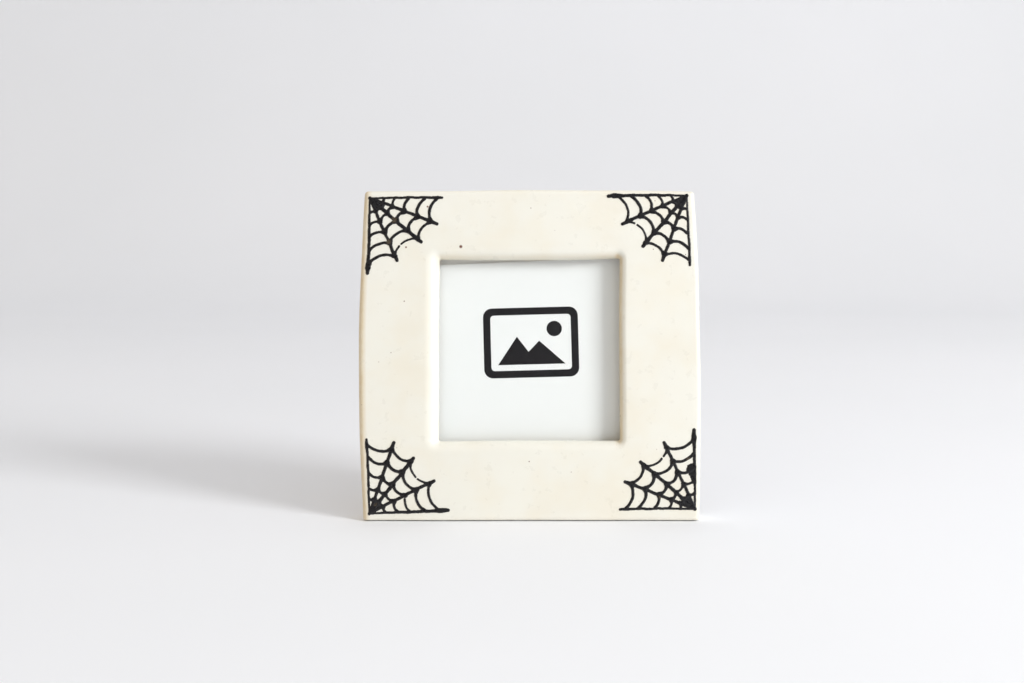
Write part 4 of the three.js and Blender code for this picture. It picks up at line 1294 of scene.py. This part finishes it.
def worked_copy(node, radius):
    """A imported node's own shape with its edges rounded, and its facets shaded as the curves they are."""
    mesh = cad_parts[node].data.copy()
    work = bmesh.new()
    work.from_mesh(mesh)
    bmesh.ops.remove_doubles(work, verts=work.verts, dist=1e-6)
    bmesh.ops.dissolve_limit(work, angle_limit=math.radians(1), verts=work.verts, edges=work.edges)
    edges = [edge for edge in work.edges if edge.calc_face_angle(0) > math.radians(40)]
    bmesh.ops.bevel(
        work, geom=edges, offset=radius / 1000, offset_type="OFFSET", segments=3, profile=0.5,
        affect="EDGES", clamp_overlap=True
    )
    return smooth(to_mesh(work, mesh), 50)


def place_board(name, node, body, lean):
    """Places a board with softened edges and stores which of its faces are its cut edges."""
    softness = 0.35
    mesh = worked_copy(node, softness)
    normal = lean.to_3x3() @ Vector((0, 1, 0))
    # Cut edges are the faces that are turned well away from the board's front and back.
    cut = [float(abs(face.normal.dot(normal)) < 0.35) for face in mesh.polygons]
    mark(mesh, "cut_edge", "FACE", cut)
    place_piece(name, mesh, body, "black_board", [node])


class PHOTOFRAME_OT_backing_board(bpy.types.Operator):
    """Build the flocked backing board"""

    bl_idname = "photo_frame.backing_board"
    bl_label = "Backing Board"
    bl_options = {"REGISTER", "UNDO"}

    def execute(self, context):
        place_board("board_panel", "backing_board", "frame", LEANING)
        return {"FINISHED"}


class PHOTOFRAME_OT_easel_leg(bpy.types.Operator):
    """Build the flocked easel leg"""

    bl_idname = "photo_frame.easel_leg"
    bl_label = "Easel Leg"
    bl_options = {"REGISTER", "UNDO"}

    def execute(self, context):
        place_board("easel_strut", "easel_leg", "leg", LEG)
        return {"FINISHED"}


def cut_recess(tree, given, head):
    """Adds the nodes that cut a cross recess into the top of a turned piece, and gives the result."""
    size = [given["Recess Length"], 2.0, given["Recess Width"]]
    size = add_node(tree, "ShaderNodeCombineXYZ", *size)
    middle = add_node(tree, "ShaderNodeMath", given["Recess Floor"], 1.0, operation="ADD")
    centre = add_node(tree, "ShaderNodeCombineXYZ", Y=middle)
    arms = []
    for quarter_turn in (0.0, math.pi / 2):
        turn = add_node(tree, "ShaderNodeMath", given["Recess Turn"], quarter_turn, operation="ADD")
        turn = add_node(tree, "ShaderNodeCombineXYZ", Y=turn)
        arm = add_node(tree, "GeometryNodeMeshCube", Size=size)
        arms.append(
            add_node(tree, "GeometryNodeTransform", Geometry=arm, Translation=centre, Rotation=turn)
        )
    cross = add_node(tree, "GeometryNodeJoinGeometry", arms)
    cross = add_node(
        tree, "GeometryNodeMeshBoolean", Mesh_2=[cross], operation="UNION", solver="MANIFOLD"
    )
    return add_node(
        tree, "GeometryNodeMeshBoolean", Mesh_1=head, Mesh_2=[cross], operation="DIFFERENCE",
        solver="MANIFOLD"
    )


def turned_tree(name, recess):
    """The node tree that turns a section round an axis, and repeats the piece along a row.

    Its section's points are (radius, height, share), where share says how much of the piece's
    stretch that point takes part in. With recess it also cuts a cross into the top.
    """
    inputs = [("Section", "Geometry", None), ("Sides", "Int", 48), ("Rows", "Int", 8)]
    inputs.append(("Count", "Int", 1))
    labels = ["Front Stretch", "Back Stretch", "Spread"]
    labels += ["Recess Turn", "Recess Length", "Recess Width", "Recess Floor"] if recess else []
    inputs += [(label, "Float", None) for label in labels]
    tree, given = start_tree(name, inputs + [("Metal", "Material", None)], "Pieces")
    around = add_node(tree, "ShaderNodeMath", given["Sides"], 1.0, operation="ADD")
    grid = add_node(
        tree, "GeometryNodeMeshGrid", Size_X=1.0, Size_Y=1.0, Vertices_X=around,
        Vertices_Y=given["Rows"]
    )
    place = add_node(tree, "GeometryNodeInputPosition")
    place = add_node(tree, "ShaderNodeSeparateXYZ", place).node.outputs
    angle = add_node(tree, "ShaderNodeMath", place["X"], 2 * math.pi, operation="MULTIPLY")
    across = add_node(tree, "ShaderNodeMath", angle, operation="COSINE")
    upward = add_node(tree, "ShaderNodeMath", angle, operation="SINE")
    last = add_node(tree, "ShaderNodeMath", given["Rows"], 1.0, operation="SUBTRACT")
    share = add_node(tree, "ShaderNodeMath", place["Y"], 0.5, operation="ADD")
    row = add_node(tree, "ShaderNodeMath", share, last, operation="MULTIPLY")
    row = add_node(tree, "ShaderNodeMath", row, operation="ROUND")
    section = add_node(tree, "GeometryNodeInputPosition")
    section = add_node(
        tree, "GeometryNodeSampleIndex", Geometry=given["Section"], Value=section, Index=row,
        data_type="FLOAT_VECTOR", domain="POINT"
    )
    section = add_node(tree, "ShaderNodeSeparateXYZ", section).node.outputs
    ahead = add_node(tree, "ShaderNodeMath", across, 0.0001, operation="GREATER_THAN")
    stretch = add_node(
        tree, "ShaderNodeMix", ahead, given["Back Stretch"], given["Front Stretch"], data_type="FLOAT"
    )
    stretch = add_node(tree, "ShaderNodeMath", stretch, section["Z"], operation="MULTIPLY")
    x = add_node(tree, "ShaderNodeMath", across, section["X"], stretch, operation="MULTIPLY_ADD")
    z = add_node(tree, "ShaderNodeMath", upward, section["X"], operation="MULTIPLY")
    target = add_node(tree, "ShaderNodeCombineXYZ", x, section["Y"], z)
    turned = add_node(tree, "GeometryNodeSetPosition", Geometry=grid, Position=target)
    closed = add_node(tree, "GeometryNodeMergeByDistance", Geometry=turned, Distance=0.002)
    if recess:
        closed = cut_recess(tree, given, closed)
    first = add_node(tree, "ShaderNodeMath", given["Spread"], -1.0, operation="MULTIPLY")
    first = add_node(tree, "ShaderNodeCombineXYZ", X=first)
    step = add_node(tree, "ShaderNodeMath", given["Spread"], 2.0, operation="MULTIPLY")
    step = add_node(tree, "ShaderNodeCombineXYZ", X=step)
    row_points = add_node(
        tree, "GeometryNodeMeshLine", Count=given["Count"], Start_Location=first, Offset=step,
        mode="OFFSET"
    )
    copies = add_node(tree, "GeometryNodeInstanceOnPoints", Points=row_points, Instance=closed)
    return finish_tree(tree, copies, given["Metal"])


def place_turned(name, section, place, body, replaced, values, sides=40, crease=34):
    """Places a turned piece, or a row, from its section's (radius, height, share) points in mm."""
    recess = "Recess Turn" in values
    label = "Turned With Cross Recess" if recess else "Turned"
    tree = bpy.data.node_groups.get(label) or turned_tree(label, recess)
    line = bpy.data.meshes.new(f"{name}_section")
    line.from_pydata(section, [], [])
    nickel = finish_for("nickel_steel")
    made = run_tree(tree, line, {"Rows": len(section), "Sides": sides, "Metal": nickel, **values})
    made = smooth(settle(face_outwards(made), place), crease)
    place_piece(name, made, body, "nickel_steel", replaced)


def button_section():
    """A turn button's section: from its bore, round the outer edge and back, as one closed line."""
    metal = settings().metal
    thick = mm(metal.button_thickness)
    end = mm(metal.button_width) / 2
    bore = 1.65
    low_round, high_round = 0.3, 0.45
    points = [(bore + 0.12, 0, 0)]
    for cosine, sine in quarter(4):
        points.append((end - low_round * (1 - sine), low_round * (1 - cosine), 1))
    for cosine, sine in quarter(5):
        points.append((end - high_round * (1 - cosine), thick - high_round * (1 - sine) - 0.04, 1))
    points += [(end - 1.1, thick - 0.005, 1), (end - 1.7, thick, 1)]
    points += [(bore + 1.0, thick, 0), (bore + 0.25, thick, 0), (bore + 0.07, thick - 0.05, 0)]
    return points + [(bore, thick - 0.22, 0), (bore, 0.12, 0), (bore + 0.12, 0, 0)]


class PHOTOFRAME_OT_turn_buttons(bpy.types.Operator):
    """Press the four turn buttons that hold the backing board"""

    bl_idname = "photo_frame.turn_buttons"
    bl_label = "Turn Buttons"
    bl_options = {"REGISTER", "UNDO"}

    def execute(self, context):
        half = mm(settings().metal.button_width) / 2
        values = {"Front Stretch": BUTTON_REACH - half, "Back Stretch": half - BUTTON_TAIL}
        for name, side, height in button_places():
            turn = Matrix.Rotation(math.pi if side > 0 else 0, 4, "Y")
            place = Matrix.Translation((side * SCREW_X, BACK_FACE + SEAT_GAP, height))
            place_turned(
                f"pressed_button_{name}", button_section(), UPRIGHT @ place @ turn, f"button_{name}",
                [f"turn_button_{name}"], values, sides=72, crease=32
            )
        return {"FINISHED"}


def screw_section():
    """A pan head screw's section, from the tip of its shank to the top of its head."""
    head = mm(settings().metal.screw_head_radius)
    shank, root, pitch, tip = 1.5, 1.32, 0.5, -8.1
    points = [(0, tip, 0), (1.1, tip, 0), (shank, tip + 0.5, 0)]
    for k in range(11):
        low = tip + 0.6 + pitch * k
        points += [(shank, low, 0), (root, low + pitch / 2, 0)]
    points += [(shank, -1.2, 0), (shank, -0.05, 0), (shank + 0.12, 0, 0)]
    points += [(head - 0.1, 0, 0), (head, 0.08, 0)]
    for cosine, sine in quarter(10)[:-1]:
        points.append((head - 0.9 + 0.9 * cosine - 0.12 * sine, 0.42 + 1.02 * sine, 0))
    return points + [(head - 1.5, 1.53, 0), (head - 2.2, 1.59, 0), (0, 1.6, 0)]


class PHOTOFRAME_OT_button_screws(bpy.types.Operator):
    """Turn the four screws and dress the brass inserts that they run in"""

    bl_idname = "photo_frame.button_screws"
    bl_label = "Button Screws"
    bl_options = {"REGISTER", "UNDO"}

    def execute(self, context):
        seat = BACK_FACE + 2 * SEAT_GAP + mm(settings().metal.button_thickness)
        values = {"Recess Length": 3.3, "Recess Width": 0.62, "Recess Floor": 0.7}
        for turn, (name, side, height) in zip((36, 71, 18, 54), button_places()):
            values["Recess Turn"] = math.radians(turn)
            place = UPRIGHT @ Matrix.Translation((side * SCREW_X, seat, height))
            place_turned(
                f"pan_screw_{name}", screw_section(), place, "frame", [f"button_screw_{name}"], values,
                sides=48
            )
            dress_node(f"insert_{name}", "turned_brass")
        return {"FINISHED"}


def add_rivets(name, grip, place, body, replaced):
    """Sets a rivet for each node that is replaced, side by side at a place.

    Their section goes from the spread tail at -grip to the domed head, which stands on 0.
    """
    head = mm(settings().metal.rivet_head_radius)
    shank, tail, rim, dome = 1.2, 2.0, 0.1, 0.8
    section = [(0, -grip, 0), (tail - 0.3, -grip, 0), (tail, -grip + 0.15, 0), (tail, -grip + 0.5, 0)]
    section += [(shank, -grip + 0.55, 0), (shank, 0, 0), (head - 0.12, 0, 0), (head, rim, 0)]
    section += [(head * cosine**0.9, rim + dome * sine, 0) for cosine, sine in quarter(12)[1:-1]]
    section.append((0, rim + dome, 0))
    values = {"Count": len(replaced), "Spread": RIVET_SPREAD if len(replaced) > 1 else 0.0}
    place_turned(name, section, place, body, replaced, values)


def rivet_plate(name, height, replaced):
    """Rivets a plate to the board at a height."""
    seat = BACK_FACE + SEAT_GAP + SHEET_THICKNESS + SEAT_GAP / 2
    place = UPRIGHT @ Matrix.Translation((0, seat, height))
    add_rivets(name, seat - BOARD_FRONT, place, "frame", replaced)


def pin_section():
    """The hinge pin's section, from one domed head to the other."""
    head, rim, dome = 1.6, 0.1, 0.7
    section = [(0, -PIN_REACH - rim - dome, 0)]
    section += [(head * sine, -PIN_REACH - rim - dome * cosine, 0) for cosine, sine in quarter(8)[1:-1]]
    section += [(head, -PIN_REACH - rim, 0), (head - 0.08, -PIN_REACH, 0)]
    section += [(PIN_RADIUS, -PIN_REACH, 0), (PIN_RADIUS, 0, 0)]
    return section + [(radius, -height, 0) for radius, height, share in reversed(section[:-1])]


class PHOTOFRAME_OT_hinge(bpy.types.Operator):
    """Build the leg's hinge: its bracket, leaf, pin and rivets"""

    bl_idname = "photo_frame.hinge"
    bl_label = "Hinge"
    bl_options = {"REGISTER", "UNDO"}

    def execute(self, context):
        edge = mm(settings().metal.edge_round)
        bracket = worked_copy("hinge_bracket", edge)
        place_piece("bent_bracket", bracket, "frame", "nickel_steel", ["hinge_bracket"])
        leaf = worked_copy("leg_leaf", edge)
        place_piece("rolled_leaf", leaf, "leg", "nickel_steel", ["leg_leaf"])
        place = UPRIGHT @ Matrix.Translation(HINGE) @ Matrix.Rotation(-math.pi / 2, 4, "Z")
        place_turned("domed_pin", pin_section(), place, "frame", ["hinge_pin"], {})
        pair = ["bracket_rivet_left", "bracket_rivet_right"]
        rivet_plate("bracket_rivet_pair", BRACKET_RIVET_HEIGHT, pair)
        # The leaf's front is level with that of its rolled end, and the leg lies in front of it.
        seat = SHEET_THICKNESS - KNUCKLE_RADIUS + SEAT_GAP / 2
        grip = seat + LEG_THICKNESS + SEAT_GAP + KNUCKLE_RADIUS
        place = LEG @ Matrix.Translation((0, seat, -LEAF_RIVET_DROP - KNUCKLE_RADIUS))
        add_rivets("leg_rivet_pair", grip, place, "leg", ["leg_rivet_left", "leg_rivet_right"])
        return {"FINISHED"}


def wire_tree():
    """The node tree that lays round wire along a closed path."""
    inputs = [("Path", "Geometry", None), ("Wire Radius", "Float", 0.7), ("Step", "Float", 0.3)]
    inputs += [("Sides", "Int", 20), ("Metal", "Material", None)]
    tree, given = start_tree("Bent Wire", inputs, "Wire")
    path = add_node(tree, "GeometryNodeMeshToCurve", given["Path"])
    even = add_node(tree, "GeometryNodeResampleCurve", Curve=path, Length=given["Step"], mode="LENGTH")
    circle = add_node(
        tree, "GeometryNodeCurvePrimitiveCircle", Resolution=given["Sides"],
        Radius=given["Wire Radius"], mode="RADIUS"
    )
    wire = add_node(tree, "GeometryNodeCurveToMesh", Curve=even, Profile_Curve=circle)
    return finish_tree(tree, wire, given["Metal"])


def ring_path():
    """The hanging ring's path: a D with its straight side on the origin, along x."""
    metal = settings().metal
    wire = mm(metal.wire_radius)
    bow = 4 + 1 + wire
    bend = 1.1
    drop = STRAP_LOOP_HEIGHT - HANGER_RIVET_HEIGHT + mm(metal.rivet_head_radius) + RING_CLEARANCE + wire
    points = []

    def arc(x, z, radius, first, last, steps):
        for k in range(steps + 1):
            angle = first + (last - first) * k / steps
            points.append((x + radius * math.cos(angle), 0, z + radius * math.sin(angle)))

    arc(bow - bend, -bend, bend, math.pi / 2, 0, 12)
    arc(0, bow - drop, bow, 0, -math.pi, 64)
    arc(bend - bow, -bend, bend, math.pi, math.pi / 2, 12)
    mesh = bpy.data.meshes.new("ring_path")
    count = len(points)
    mesh.from_pydata(points, [(k, (k + 1) % count) for k in range(count)], [])
    return mesh


class PHOTOFRAME_OT_hanger(bpy.types.Operator):
    """Build the wall hanger: its strap, rivet and wire ring"""

    bl_idname = "photo_frame.hanger"
    bl_label = "Wall Hanger"
    bl_options = {"REGISTER", "UNDO"}

    def execute(self, context):
        metal = settings().metal
        strap = worked_copy("hanger_strap", mm(metal.edge_round))
        place_piece("rolled_strap", strap, "frame", "nickel_steel", ["hanger_strap"])
        rivet_plate("strap_rivet", HANGER_RIVET_HEIGHT, ["hanger_rivet"])
        values = {"Wire Radius": mm(metal.wire_radius), "Metal": finish_for("nickel_steel")}
        wire = face_outwards(run_tree(wire_tree(), ring_path(), values))
        depth = BACK_FACE + SEAT_GAP + STRAP_LOOP_RADIUS
        hang = Matrix.Translation((0, depth, STRAP_LOOP_HEIGHT)) @ Matrix.Rotation(LEAN, 4, "X")
        smooth(settle(wire, UPRIGHT @ hang), 60)
        place_piece("bent_wire_ring", wire, "ring", "nickel_steel", ["hanger_ring"])
        return {"FINISHED"}


def add_lamp(name, size, power, place, target, colour="#ffffff"):
    """Sets up a soft square light at a place, turned towards its target and not seen itself."""
    light = bpy.data.lights.new(name, "AREA")
    light.shape = "SQUARE"
    light.size = size
    light.energy = power
    light.color = linear(colour)[:3]
    lamp = carry(name, light)
    lamp.location = place
    lamp.rotation_euler = (Vector(target) - lamp.location).to_track_quat("-Z", "Y").to_euler()
    lamp.visible_camera = False


def studio_backdrop(sweep):
    """A floor that rises in a round of this radius to a back wall, well behind the frame."""
    half, wall = settings().studio.floor_size / 2, settings().studio.wall_distance
    profile = [(half * (k / 8 - 1), 0) for k in range(8)]
    profile += [(wall * k / 6, 0) for k in range(6)]
    profile += [(wall + sweep * sine, sweep * (1 - cosine)) for cosine, sine in quarter(16)]
    profile += [(wall + sweep, sweep + 0.4 * k) for k in range(1, 7)]
    places = [(side * half, y, z) for y, z in profile for side in (-1, 1)]
    faces = [(2 * k, 2 * k + 1, 2 * k + 3, 2 * k + 2) for k in range(len(profile) - 1)]
    mesh = bpy.data.meshes.new("studio_floor")
    mesh.from_pydata(places, [], faces)
    mesh.materials.append(finish_for("floor"))
    return smooth(mesh, 30)


def room_light():
    """The even light of a white room, with a dark patch where the photographer stands.

    It is dimmer from above and from the left than from the front, and the glass and the enamel
    mirror the patch.
    """
    world = bpy.data.worlds.new("white_room")
    world.use_nodes = True
    tree = world.node_tree
    sky = tree.nodes["Background"]
    way = add_node(tree, "ShaderNodeTexCoord", take="Generated")
    axes = add_node(tree, "ShaderNodeSeparateXYZ", way).node.outputs
    upward = add_node(tree, "ShaderNodeMapRange", axes["Z"], 0.0, 0.8, 1.0, 0.88, **EASED)
    sideways = add_node(tree, "ShaderNodeMapRange", axes["X"], -1.0, 1.0, 0.92, 1.03)
    light = add_node(tree, "ShaderNodeMath", upward, sideways, operation="MULTIPLY")
    photographer = (0.0, -0.98, 0.2)
    facing = add_node(tree, "ShaderNodeVectorMath", way, photographer, operation="DOT_PRODUCT")
    patch = add_node(tree, "ShaderNodeMapRange", facing, 0.9, 0.975, 1.0, 0.1, **EASED)
    light = add_node(tree, "ShaderNodeMath", light, patch, operation="MULTIPLY")
    strength = settings().studio.sky_strength
    light = add_node(tree, "ShaderNodeMath", light, strength, operation="MULTIPLY")
    # The room's left side is lit by what the right side throws back, which is warmer.
    leftward = add_node(tree, "ShaderNodeMapRange", axes["X"], 0.25, -0.75, **EASED)
    cool, warm = linear("#f8fafe"), linear("#fdebd0")
    tint = add_node(tree, "ShaderNodeMix", leftward, cool, warm, data_type="RGBA")
    tree.links.new(tint, sky.inputs["Color"])
    tree.links.new(light, sky.inputs["Strength"])
    return world


class PHOTOFRAME_OT_studio(bpy.types.Operator):
    """Set up the pale floor, the soft light and the camera"""

    bl_idname = "photo_frame.studio"
    bl_label = "Studio"
    bl_options = {"REGISTER", "UNDO"}

    def execute(self, context):
        studio = settings().studio
        scene = context.scene
        sweep = 0.6
        floor = carry("studio_floor", studio_backdrop(sweep))
        scene.world = room_light()
        place, target = (1.45, -0.95, 0.81), (0, 0, 0.07)
        add_lamp("soft_key", studio.key_size, studio.key_power, place, target, "#fdfdfc")
        # A second light that only brightens the back wall.
        place, target = (0.3, 0.7, 1.5), (0.2, studio.wall_distance + sweep, 0.1)
        add_lamp("wall_light", 1.6, studio.wall_power, place, target)
        lens = bpy.data.cameras.new("photo_camera")
        lens.lens = studio.lens
        lens.sensor_width = 36
        camera = carry("photo_camera", lens)
        camera.location = studio.camera_place
        camera.rotation_euler = (math.pi / 2 - studio.camera_tilt, 0, 0)
        scene.camera = camera
        scene.view_settings.view_transform = "Standard"
        return {"FINISHED"}


OPERATORS = (
    PHOTOFRAME_OT_studio,
    PHOTOFRAME_OT_ceramic_body,
    PHOTOFRAME_OT_cobwebs,
    PHOTOFRAME_OT_glass_pane,
    PHOTOFRAME_OT_print_sheet,
    PHOTOFRAME_OT_filler_card,
    PHOTOFRAME_OT_backing_board,
    PHOTOFRAME_OT_easel_leg,
    PHOTOFRAME_OT_turn_buttons,
    PHOTOFRAME_OT_button_screws,
    PHOTOFRAME_OT_hinge,
    PHOTOFRAME_OT_hanger,
)


class PHOTOFRAME_PT_sidebar(bpy.types.Panel):
    """The photo frame's settings and steps, in the sidebar"""

    bl_idname = "PHOTOFRAME_PT_sidebar"
    bl_label = "Photo Frame"
    bl_space_type = "VIEW_3D"
    bl_region_type = "UI"
    bl_category = "Photo Frame"

    def draw(self, context):
        for label, group in (
            ("Ceramic", settings().ceramic),
            ("Cobwebs", settings().cobweb),
            ("Print", settings().print_sheet),
            ("Metal", settings().metal),
            ("Finishes", settings().finish),
            ("Studio", settings().studio),
        ):
            box = self.layout.box()
            box.label(text=label)
            for name in group.__annotations__:
                box.prop(group, name)
        steps = self.layout.column(align=True)
        for operator in OPERATORS:
            steps.operator(operator.bl_idname)


CLASSES = (
    PhotoFrameCeramic,
    PhotoFrameCobweb,
    PhotoFramePrint,
    PhotoFrameMetal,
    PhotoFrameFinish,
    PhotoFrameStudio,
    PhotoFrameSettings,
    *OPERATORS,
    PHOTOFRAME_PT_sidebar,
)


def register():
    for item in CLASSES:
        bpy.utils.register_class(item)
    bpy.types.Scene.photo_frame = bpy.props.PointerProperty(type=PhotoFrameSettings)


def unregister():
    del bpy.types.Scene.photo_frame
    for item in reversed(CLASSES):
        bpy.utils.unregister_class(item)


def main():
    """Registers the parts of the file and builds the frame."""
    register()
    for operator in OPERATORS:
        group, name = operator.bl_idname.split(".")
        getattr(getattr(bpy.ops, group), name)()


if __name__ == "__main__":
    main()
